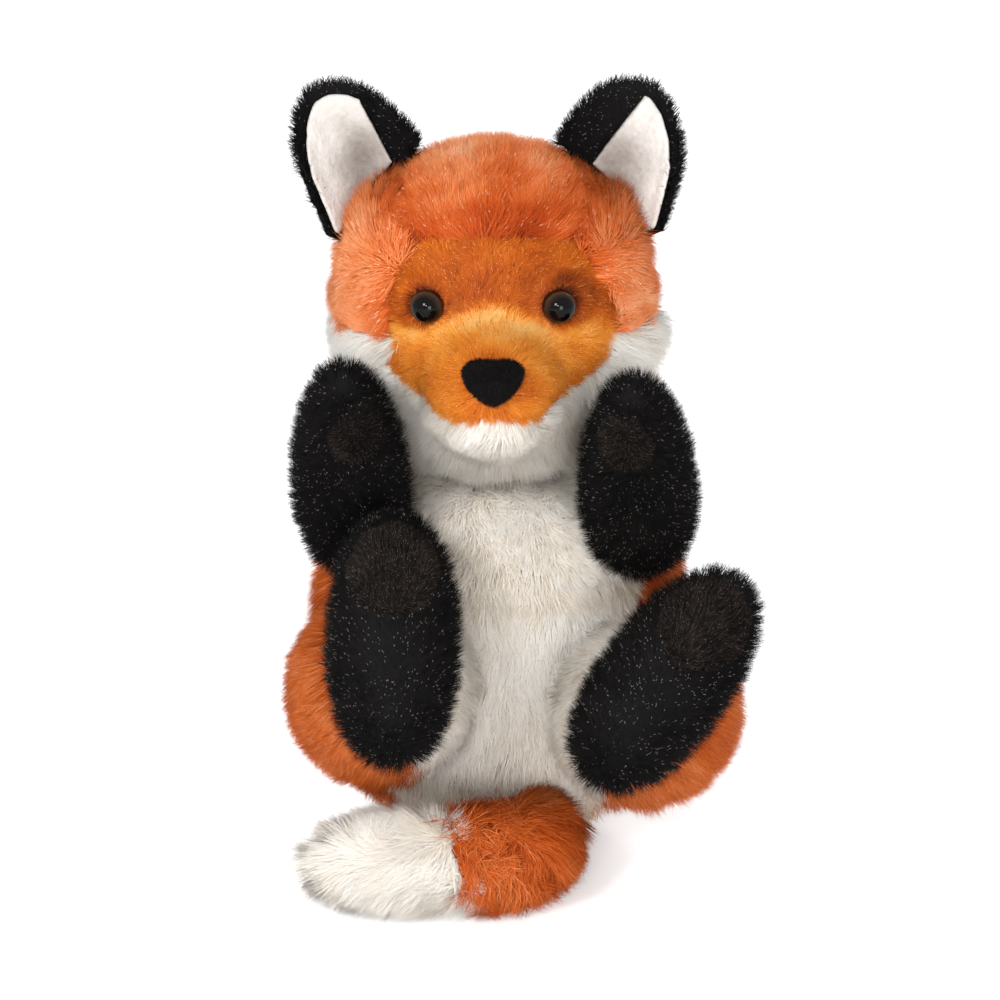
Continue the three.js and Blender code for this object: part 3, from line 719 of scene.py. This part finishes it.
def face_tone(roots, source):
    """Gold under the eyes, redder on the brow and over the nose, near black round the eyes."""
    across, height, count = roots[:, 0] - NOSE[0], roots[:, 2], len(roots)
    above = height - (117 - 0.22 * np.abs(across))
    band = bump((above, 0, np.where(above > 0, 1.8, 5.0))) * (1 - 0.012 * np.abs(across))
    tone = 0.31 + 0.47 * band + 0.22 * ramp(above, 0, -6) + 0.07 * ramp(height, 121, 4)
    tone -= 0.26 * bump((across, 0, 6), (height, 111.5, 1.8)) * (roots[:, 1] > -56)
    tone = some_shiny(
        tone + 0.06 * drift(roots, 6, 30) + 0.05 * drift(roots, 2.5, 31), 0.06, 0.035, source
    )
    ring = ramp(near_eye(roots), 3.2, -0.7)
    brow = bump((roots[:, 0], 11.6, 2.4), (height, 122.6, 1.3))
    ring = np.maximum(ring, 0.75 * brow)
    return tone * (1 - ring) + (0.06 + 0.06 * source.random(count)) * ring


def crown_comb(roots, outwards):
    """Swept up from the mask and down again behind, and a little away from the middle."""
    across = (roots[:, 0] - NOSE[0]) / 16
    over = ramp(roots[:, 1], -14, 20)
    return np.stack([0.5 * across, np.full(len(roots), 0.8), 0.9 - 2.2 * over], 1)


def crown_tone(roots, source):
    """Deep red where it meets the mask, and orange again behind; the peach towards the top is
    painted highlight.
    """
    behind = 0.55 * ramp(roots[:, 1], -12, 12)
    # The lift by rise towards the top is painted highlight.
    rise = np.maximum(ramp(roots[:, 2], 128, 12), behind)
    level = 0.23 + 0.45 * rise + 0.13 * drift(roots, 7, 32) + 0.1 * drift(roots, 3, 33)
    return some_shiny(level, 0.07, 0.03, source)


def temple_comb(side):
    """Combed out to the side, and up in front of the ear higher on the head."""
    def comb(roots, outwards):
        rise = ramp(roots[:, 2], 122, 6)
        return np.stack([side * (1 - 0.5 * rise), 0.3 - 0.7 * rise, -0.25 + 1.3 * rise], 1)
    return comb


def ear_tuft(roots):
    """Where the temples' fur rises in a tuft in front of the ears."""
    return ramp(roots[:, 2], 122, 4) * ramp(np.abs(roots[:, 0] - MIDDLE_X), 19, 3)


def before_ear(places):
    """Where the fur is worn short before the inner corner of each ear."""
    aside, y, z = np.abs(places[:, 0] - MIDDLE_X), places[:, 1], places[:, 2]
    return bump((aside, 17, 4)) * ramp(z, 127, 4) * ramp(y, -6, -4)


def temple_tone(roots, source):
    """Orange beside the crown; its paling to peach at the sides of the head is painted highlight.
    """
    # The lift towards the sides of the head is painted highlight.
    level = 0.47 + 0.2 * ramp(np.abs(roots[:, 0] - MIDDLE_X), 17, 6)
    level += 0.1 * drift(roots, 9, 34) + 0.08 * drift(roots, 3, 35)
    return some_shiny(level, 0.06, 0.04, source)


UNDERSIDE = 95  # mm: the head is free of the neck above this height


def off_the_neck(roots):
    """Leaves out the patch that the neck is sewn to."""
    return beside_neck(roots) | (roots[:, 2] > UNDERSIDE)


def under_chin(roots):
    """Where the white fur hangs in a fringe over the neck."""
    return ramp(roots[:, 2], 96, -7)


def chin_comb(roots, outwards):
    """Parted in the middle and combed down and to the sides."""
    across = np.tanh((roots[:, 0] - NOSE[0]) / 6)
    return np.stack([0.9 * across, np.full(len(roots), 0.2), np.full(len(roots), -0.8)], 1)


# The glint colours of the face and crown fur are painted highlights.
face_fur = fur_finish(
    "gold_face_fur",
    [
        (0.0, "150B06"), (0.12, "6E2F0E"), (0.28, "B5521A"), (0.42, "CE641A"), (0.52, "DF7824"),
        (0.64, "F39433"), (0.74, "FFA640"), (0.84, "FFC672"), (1.0, "FFD08A"),
    ],
    0.8, tip=0.16, glint="FFDCA8",
)
crown_fur = fur_finish(
    "orange_crown_fur",
    [
        (0.0, "7A2408"), (0.3, "C44C18"), (0.55, "E66E30"), (0.75, "FF9C62"), (0.9, "FFBC90"),
        (1.0, "FFC8A0"),
    ],
    0.7, tip=0.16, glint="FFD4B8",
)
head_panels = [
    "face_mask", "head_crown", "temple_left", "temple_right", "head_back", "cheek_left",
    "cheek_right", "chin",
]


def mask_claim(places, reach):
    """How far the mask's seam lies inside its solid: at the sides, the top and under the nose."""
    x, z = places[:, 0], places[:, 2]
    right_side = 4.0 * ramp(x, -14, -5) * ramp(z, 106, 4)
    left_side = 3.0 * ramp(x, 12, 5) * ramp(z, 118, 4)
    top = 1.6 * ramp(z, 126, 3)
    notch = (2.6 * bump((x, 0.5, 2.6)) + 1.4 * ramp(x, 2, 3)) * (z < 100)
    return np.maximum.reduce([right_side, left_side, top, notch])


head_hide = Hide(
    "head_hide", ["head_stuffing", "eye_washer_left", "eye_washer_right"], head_panels, 1.4, 16,
    0.0, claims={"face_mask": mask_claim},
)
head_hide.filled_out(1.0)
head_hide.drawn_taut(
    120, 3.0, lambda places: ramp(places[:, 1], -18, -6) * ramp(places[:, 2], 90, 4)
)
in_front = head_hide.places[:, 1] < -20
over_washer = ramp(near_eye(head_hide.places), 4.9, -1.2) * in_front
head_hide.moved(head_hide.outwards * (1.2 * over_washer)[:, None])
FACE_HOLE, CROWN_HOLE = 2.3, 3.4  # mm round the middle of an eye that each leaves bare
furred(
    "face_mask_fur", head_hide, "face_mask", "head", face_fur, "face_fur", 0.9, seed=31,
    density=26, length=2.6, lean=40, comb=face_comb, width=0.14, tone=face_tone, stray=0.5,
    keep=lambda roots: near_eye(roots) > FACE_HOLE, clump=(0.4, 1.1),
)
furred(
    "crown_pile", head_hide, "head_crown", "head", crown_fur, "crown_fur", 0.9, seed=32,
    density=19, length=lambda roots: 5.4 - 1.0 * before_ear(roots), lean=48, comb=crown_comb,
    width=0.17, tone=crown_tone, clump=(0.5, 1.9), stray=0.4,
    keep=lambda roots: near_eye(roots) > CROWN_HOLE,
)
for side, word, seed in ((1, "left", 33), (-1, "right", 34)):
    furred(
        f"temple_{word}_fur", head_hide, f"temple_{word}", "head", crown_fur, "crown_fur", 0.9,
        strand=long_strand, seed=seed, density=13, width=0.14, comb=temple_comb(side),
        length=lambda roots: 6.0 + 1.5 * ear_tuft(roots) - 1.6 * before_ear(roots),
        lean=lambda roots: 56 - 18 * ear_tuft(roots), tone=temple_tone, clump=(0.45, 1.8),
    )
    furred(
        f"cheek_{word}_fur", head_hide, f"cheek_{word}", "head", white_fur, "white_fur", 0.9,
        seed=seed + 2, density=16, length=7.0 + 1.2 * side, lean=46, width=0.17,
        comb=towards(side, 0.3, -0.5), tone=even_tone(0.76, 0.15, 0.17, seed), clump=(0.5, 1.9),
    )
furred(
    "nape_fur", head_hide, "head_back", "head", back_fur, "back_fur", 0.9,
    seed=37, density=9.5, length=7.2, lean=60, comb=towards(0, 0.1, -1), width=0.22,
    tone=even_tone(0.5, 0.14, 0.13, 37), clump=(0.45, 2.2), keep=off_the_neck,
)
furred(
    "chin_fur", head_hide, "chin", "head", white_fur, "white_fur", 0.9,
    seed=38, density=20, length=lambda roots: 4.2 + 4.2 * under_chin(roots),
    lean=lambda roots: 44 - 20 * under_chin(roots), comb=chin_comb, width=0.16, stray=0.4,
    tone=even_tone(0.58, 0.12, 0.15, 38), clump=(0.45, 1.6), keep=off_the_neck,
)
bpy.data.objects.remove(head_hide.item)


# Eyes: round shanked safety eyes of glossy dark brown plastic, pushed through the mask and locked
# behind the cloth by pressed washers. The rim of each dome is a paler brown than its middle.
EYE_RADIUS = 3.2
EYE_DOME = 2.6
EYE_SINK = 0.5
EYE_TOE = math.radians(14)
# The edge, the flange and the shank: how far back each ring goes in mm, and its girth by the last.
EYE_RINGS = ((0.25, 1.0), (0.75, 1.0), (0.2, 0.94), (0.0, 0.4), (5.8, 1.0))


def eye_finish():
    """Dark brown plastic with a paler ring near its rim, read from a mark on each corner."""
    made, shader, start = finish_of("eye_plastic", roughness=0.02, specular_ior_level=0.13)
    ring = start.node("ShaderNodeAttribute", {"attribute_name": "rim"}, {}, "Fac")
    uneven = ring + (noise_of(start, 1800.0) - 0.5) * 0.08
    feed(shader, base_color=coloured(
        start, uneven, (0.0, "060404"), (0.7, "090605"), (0.86, "2A1A10"), (0.95, "3C281A"),
        (1.0, "0E0806"),
    ))
    return made


eye_plastic = eye_finish()
for side, word in ((1, "left"), (-1, "right")):
    look = np.array([side * math.sin(EYE_TOE), -math.cos(EYE_TOE), 0])
    cad, _ = corners_of(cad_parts[f"eye_{word}"].data)
    apex = cad[(cad @ look).argmax()] - look * EYE_SINK
    base = apex - look * EYE_DOME
    ball = (EYE_RADIUS ** 2 + EYE_DOME ** 2) / (2 * EYE_DOME)
    turn = Vector(look).to_track_quat("Z", "Y").to_euler()
    bpy.ops.object.select_all(action="DESELECT")
    bpy.ops.mesh.primitive_uv_sphere_add(
        segments=48, ring_count=32, radius=ball * MM, location=(apex - look * ball) * MM,
        rotation=turn,
    )
    eye = bpy.context.object
    eye.name = f"eye_{word}_dome"
    bpy.ops.object.transform_apply(location=True, rotation=True, scale=True)
    bpy.ops.object.mode_set(mode="EDIT")
    bpy.ops.mesh.select_all(action="SELECT")
    bpy.ops.mesh.bisect(
        plane_co=base * MM, plane_no=look, clear_inner=True, clear_outer=False, use_fill=False
    )
    bpy.ops.mesh.select_all(action="DESELECT")
    bpy.ops.mesh.select_mode(type="EDGE")
    bpy.ops.mesh.select_non_manifold()
    for depth, girth in EYE_RINGS:
        bpy.ops.mesh.extrude_edges_move(TRANSFORM_OT_translate={"value": -look * depth * MM})
        bpy.ops.transform.resize(value=(girth,) * 3)
    bpy.ops.mesh.fill()
    bpy.ops.mesh.select_mode(type="VERT")
    bpy.ops.mesh.select_all(action="SELECT")
    bpy.ops.mesh.normals_make_consistent(inside=False)
    bpy.ops.object.mode_set(mode="OBJECT")
    off = corners_of(eye.data)[0] - base
    aside = np.linalg.norm(off - np.outer(off @ look, look), axis=1) / EYE_RADIUS
    rim = eye.data.attributes.new("rim", "FLOAT", "POINT")
    rim.data.foreach_set("value", aside.astype(np.float32))
    bpy.ops.object.shade_smooth_by_angle(angle=math.radians(40))
    eye.data.materials.append(eye_plastic)
    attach(eye, "head")
    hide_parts(f"eye_{word}")

washer_plastic, washer_shader, start = finish_of("washer_plastic", roughness=0.4)
feed(
    washer_shader,
    base_color=coloured(start, noise_of(start, 500.0), (0.3, "DADAD8"), (0.7, "F2F2F0")),
)
for word in ("left", "right"):
    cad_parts[f"eye_washer_{word}"].data.materials[0] = washer_plastic


# Nose: a small padded triangle of flocked black velour, stitched flat to the end of the muzzle. It
# is shallow, and its lower edge is pressed into the pile of the face.
velvet = fur_finish(
    "nose_velour", [(0.0, "070606"), (0.5, "131111"), (0.8, "221F1E"), (1.0, "4A4644")], 0.7,
    roughness=0.9, gloss=0.1,
)
nose_hide = Hide("nose_hide", ["nose"], ["nose"], 0.35, 10, -0.35, seam=0)
middle = (nose_hide.places.max(0) + nose_hide.places.min(0)) / 2
flatter = (nose_hide.places - middle) * [0, 0, -0.22]
nose_hide.moved(flatter + [0, 2.0, 0])
furred(
    "nose_velour", nose_hide, "nose", "head", velvet, "nose_velour", 0.8, whole=True, seed=39,
    density=34, length=0.8, lean=25, comb=towards(0, -0.3, -1), width=0.13, stray=0.8,
    tone=even_tone(0.5, 0.1, 0.14, 39),
)
bpy.data.objects.remove(nose_hide.item)


# Ears: a curled sheet of short black plush, lined with off-white felt that is cut smaller, so
# that the black shows as an edge all round. Unstuffed, and sewn to the head along the bottom.
# The black fur's glint colour is a painted highlight: pale specks on a few strands.
black_fur = fur_finish(
    "black_fur", [(0.0, "080707"), (0.5, "100E0E"), (0.8, "1A1817"), (1.0, "2A2725")],
    0.6, tip=0.1, glint="A49E96",
)
felt, felt_shader, start = finish_of("ear_felt", roughness=0.95, specular_ior_level=0.1)
matted = noise_of(start, 900.0, 6.0)
mottle = noise_of(start, 160.0, 3.0)
# The hollow darkens the felt in the ear's cup: painted shade.
hollow = start.node("ShaderNodeAttribute", {"attribute_name": "hollow"}, {}, "Fac")
felt_tone = 0.45 + mottle * 0.45 + matted * 0.25 - hollow * 0.66
feed(
    felt_shader, normal=raised(start, matted, 0.7, 0.0005),
    base_color=coloured(
        start, felt_tone, (0.0, "665E58"), (0.45, "9E9791"), (0.8, "C8C3BE"), (1.0, "DAD7D3")
    ),
)
SKULL_MIDDLE = np.array([-1.3, -8.0, 113.0])
EAR_HOLLOW = {"left": (22.0, 138.0), "right": (-26.0, 139.5)}  # x and z of each ear's hollow
EAR_TRIM = {"left": (16.8, 138.0, 0.76), "right": (-18.2, 135.0, -0.52)}  # x, z, x gained per z


def hollow_of(places, word):
    """1 in the middle of the ear's hollow, falling off around it."""
    x, z = EAR_HOLLOW[word]
    return bump((places[:, 0], x, 5), (places[:, 2], z, 8))


def curled(places, word):
    """The ear as it has set: hollowed low on its inner side, the right one's tip leaning out."""
    places = places.copy()
    if word == "right":
        places[:, 0] -= 3.0 * ramp(places[:, 2], 130, 25) ** 1.5
    places[:, 1] += 1.6 * hollow_of(places, word)
    return places


def trimmed_off(places, side, word):
    """How far each point is past the slanting inner edge that the felt is cut to."""
    x, z, lean = EAR_TRIM[word]
    return side * (x + lean * (places[:, 2] - z) - places[:, 0])


for side, word, seed in ((1, "left", 41), (-1, "right", 42)):
    back, lining = f"ear_{word}_back", f"ear_{word}_lining"
    bare = lambda places, reach: 3 * ramp(trimmed_off(curled(places, word), side, word), 0, 1)
    ear_hide = Hide(
        f"ear_{word}_hide", [back], [back, lining], 0.5, 16, -0.5, seam=0, claims={lining: bare}
    )
    ear_hide.moved(curled(ear_hide.places, word) - ear_hide.places)
    sewn = ramp(ear_hide.outwards[:, 2], -0.15, -0.4) * (ear_hide.places[:, 2] < 142)
    ear_hide.moved(unit(SKULL_MIDDLE - ear_hide.places) * (3.0 * sewn)[:, None])
    furred(
        f"ear_{word}_fur", ear_hide, back, f"ear_{word}", black_fur, "black_fur", 0.2, whole=True,
        seed=seed, density=11, length=2.5, lean=44, comb=towards(0.2 * side, 0.1, 1), width=0.17,
        tone=even_tone(0.45, 0.12, 0.12, seed, 0.06), stray=0.6,
        keep_reach=lambda reach, outwards: (reach[:, 1] > 0.7) & (outwards[:, 2] > -0.4),
    )
    bpy.data.objects.remove(ear_hide.item)
    inner = rounded(merged_copy(f"ear_{word}_felt", lining), 0.4, 30, 0.1)
    place_corners(inner.data, curled(corners_of(inner.data)[0], word))
    x, z, lean = EAR_TRIM[word]
    alone(inner)
    bpy.ops.object.mode_set(mode="EDIT")
    bpy.ops.mesh.select_all(action="SELECT")
    bpy.ops.mesh.bisect(
        plane_co=(x * MM, 0, z * MM), plane_no=(side, 0, -side * lean), clear_inner=True,
        clear_outer=False, use_fill=True,
    )
    bpy.ops.mesh.select_all(action="SELECT")
    bpy.ops.mesh.quads_convert_to_tris()
    bpy.ops.object.mode_set(mode="OBJECT")
    finished_with(inner, "SMOOTH", factor=0.5, iterations=5)
    # Marks the hollow's painted shade on the felt, corner by corner.
    inner.data.attributes.new("hollow", "FLOAT", "POINT").data.foreach_set(
        "value", hollow_of(corners_of(inner.data)[0], word).astype(np.float32)
    )
    inner.data.materials.append(felt)
    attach(inner, f"ear_{word}")
    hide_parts(lining)


# Arms: stuffed tubes of short black plush, closed at the paw, each with a small oval pad of
# shorn brown-black velour. They are sewn into the chest's sides and held up to the cheeks.
# The pad velour's glint colour is a painted highlight.
pad_velour = fur_finish(
    "pad_velour", [(0.0, "0A0807"), (0.4, "1B1715"), (0.7, "2E2824"), (1.0, "463E38")], 0.7,
    roughness=0.9, tip=0.1, glint="7A726B",
)


def paired(name, hide, body, plush, pad, seed, comb):
    """The black plush and the pad of one limb's end."""
    furred(
        f"{name}_fur", hide, plush, body, black_fur, "black_fur", 0.8, seed=seed,
        density=12, length=3.8, lean=32, comb=comb, width=0.17, stray=0.7,
        tone=even_tone(0.45, 0.14, 0.16, seed, 0.06), clump=(0.45, 1.3),
    )
    furred(
        f"{name}_pad", hide, pad, body, pad_velour, "pad_velour", 0.8, seed=seed + 1,
        density=18, length=1.8, lean=24, comb=comb, width=0.2,
        tone=even_tone(0.48, 0.14, 0.26, seed, 0.07),
    )


for side, word, seed in ((1, "left", 51), (-1, "right", 55)):
    body = f"arm_{word}"
    plush, pad = f"{body}_plush", f"{body}_paw_pad"
    stuffing(f"{body}_filling", [f"{body}_stuffing"], body, fibre, 1.7)
    arm_hide = Hide(
        f"{body}_hide", [f"{body}_stuffing"], [plush, pad], 1.2, 8, 0.1, padded={pad: 1.0}
    )
    arm_hide.filled_out(0.8)
    paired(body, arm_hide, body, plush, pad, seed, towards(0.15 * side, -0.1, 1))
    bpy.data.objects.remove(arm_hide.item)


# Legs: a round orange thigh with a white inner side, sewn to the belly, and a long stuffed foot of
# black plush held sole forward, with a shorn pad under the toes.
def thigh_claim(places, reach):
    """The white of the inner side widens upwards, up to the foot."""
    beside_foot = reach[:, :2].min(1)
    return np.clip((places[:, 2] - 33) * 0.35, 0, 6) * ramp(beside_foot, 0, 3)


for side, word, seed, roll in ((1, "left", 61, 36), (-1, "right", 66, 0)):
    body = f"leg_{word}"
    foot, sole, thigh, inner = (
        f"{body}_{panel}" for panel in ("foot", "sole_pad", "thigh", "inner_thigh")
    )
    toes = towards(math.sin(math.radians(roll)) * side, 0.0, math.cos(math.radians(roll)))
    stuffing(f"{body}_filling", [f"{body}_stuffing"], body, fibre, 1.9)
    leg_hide = Hide(
        f"{body}_hide", [f"{body}_stuffing"], [foot, sole, thigh, inner], 1.3, 10, 0.1,
        padded={sole: 1.0}, claims={thigh: thigh_claim},
    )
    leg_hide.filled_out(0.8)
    paired(f"foot_{word}", leg_hide, body, foot, sole, seed, toes)
    furred(
        f"thigh_{word}_fur", leg_hide, thigh, body, back_fur, "back_fur", 0.8, seed=seed + 2,
        density=11.5, length=6.6, lean=60, width=0.19, stray=0.3, swirl=0.5, clump=(0.5, 2.0),
        comb=towards(0.7 * side, 0.5, -0.7), tone=even_tone(0.5, 0.13, 0.12, seed),
    )
    furred(
        f"inner_thigh_{word}_fur", leg_hide, inner, body, white_fur, "white_fur", 0.8,
        seed=seed + 3, density=15, length=6.0, lean=52, width=0.19, clump=(0.5, 1.9),
        comb=towards(-0.3 * side, 0.0, -1.0), tone=even_tone(0.52, 0.14, 0.16, seed),
    )
    bpy.data.objects.remove(leg_hide.item)


# Tail: a stuffed sausage of the longest plush, rust orange at the root and white at the tip,
# sewn under the belly and laid forward. Its white tufts lie both ways over the seam.
TAIL_SEAM_X = -9.0


def slant(places):
    """How many mm further out the seam is than at the floor: the white starts later on top."""
    return 5.0 * ramp(places[:, 2], 4, 14)


def by_the_seam(roots):
    """1 at the seam of orange and white, falling to 0 a few mm into the white."""
    return ramp(roots[:, 0] - TAIL_SEAM_X + slant(roots), 0, 4)


def tip_comb(roots, outwards):
    """Combed to the end, but flaring over the orange beside the seam."""
    back = by_the_seam(roots)
    return np.stack([-1 + 1.7 * back, np.full(len(roots), -0.15), -0.3 + 0.1 * back], 1)


stuffing("tail_filling", ["tail_stuffing"], "tail", fibre, 1.9)
tail_hide = Hide(
    "tail_hide", ["tail_stuffing"], ["tail_base", "tail_tip"], 1.4, 12, 0.1,
    claims={"tail_tip": lambda places, reach: slant(places)},
)
tail_hide.filled_out(0.8)
furred(
    "tail_base_fur", tail_hide, "tail_base", "tail", back_fur, "back_fur", 0.7, strand=long_strand,
    seed=71, density=10.5, length=7.0, lean=58, comb=towards(0.4, -0.4, -0.7), width=0.16,
    stray=0.5, tone=even_tone(0.4, 0.16, 0.14, 71), clump=(0.55, 2.2),
)
furred(
    "tail_tip_fur", tail_hide, "tail_tip", "tail", white_fur, "white_fur", 0.7, seed=72, density=21,
    length=lambda roots: 7.4 - 1.4 * by_the_seam(roots),
    lean=lambda roots: 62 - 20 * by_the_seam(roots), comb=tip_comb, width=0.15, stray=0.3,
    tone=even_tone(0.62, 0.12, 0.12, 72), clump=(0.5, 2.4),
)
bpy.data.objects.remove(tail_hide.item)


# Studio: white paper on the floor of an even white room. A soft lamp stands at the upper left, a
# weaker one at the right, one behind, and a small one by the camera that shows in the eyes. The
# camera looks down a little, as the photographer did.
bpy.ops.object.select_all(action="DESELECT")
bpy.ops.mesh.primitive_plane_add(size=4)
floor = bpy.context.object
floor.name = "floor"
paper, paper_shader, start = finish_of("white_paper", roughness=0.9, base_color=linear("F2F2F2"))


def rays_that_see(start):
    """1 for a ray of the camera's, or of its reflection or refraction, and 0 for light."""
    rays = [
        start.node("ShaderNodeLightPath", {}, {}, f"Is {kind} Ray")
        for kind in ("Camera", "Glossy", "Transmission")
    ]
    return start.sum_of("MAXIMUM", start.sum_of("MAXIMUM", rays[0], rays[1]), rays[2])


PAPER_GLOW = 0.4  # seen by the camera only
ROOM_LIGHT = 0.72  # the light that the room gives, against its full white in the picture
paper_shader.inputs["Emission Color"].default_value = (1, 1, 1, 1)
feed(paper_shader, emission_strength=rays_that_see(start) * PAPER_GLOW)
floor.data.materials.append(paper)

room = bpy.data.worlds.new("white_room")
room.use_nodes = True
bpy.context.scene.world = room
backdrop = room.node_tree.nodes["Background"]
backdrop.inputs["Color"].default_value = (1, 1, 1, 1)
feed(backdrop, strength=ROOM_LIGHT + rays_that_see(Socket(room.node_tree)) * (1 - ROOM_LIGHT))

AIM = Vector((0, -0.004, 0.071))


def soft_lamp(name, place, size, power):
    lamp = bpy.data.lights.new(name, "AREA")
    lamp.shape = "SQUARE"
    lamp.size = size
    lamp.energy = power
    item = bpy.data.objects.new(name, lamp)
    bpy.context.scene.collection.objects.link(item)
    item.location = place
    item.rotation_euler = (AIM - item.location).to_track_quat("-Z", "Y").to_euler()


soft_lamp("key_lamp", Vector((-0.4, -0.95, 0.62)), 0.24, 7.4)
soft_lamp("side_lamp", Vector((0.3, -1.12, 0.22)), 0.4, 5.4)
soft_lamp("back_lamp", Vector((0.55, 0.95, 0.7)), 0.6, 4.0)
soft_lamp("catch_lamp", Vector((-0.14, -1.1, 0.5)), 0.08, 2.8)

camera_data = bpy.data.cameras.new("camera")
camera = bpy.data.objects.new("camera", camera_data)
bpy.context.scene.collection.objects.link(camera)
camera_data.sensor_width = 36
camera_data.lens = 183.7
camera_data.clip_start, camera_data.clip_end = 0.05, 20
RISE = math.radians(18)
camera.location = AIM + Vector((0, -math.cos(RISE), math.sin(RISE)))
camera.rotation_euler = (AIM - camera.location).to_track_quat("-Z", "Y").to_euler()
bpy.context.scene.camera = camera
bpy.context.scene.view_settings.view_transform = "Standard"
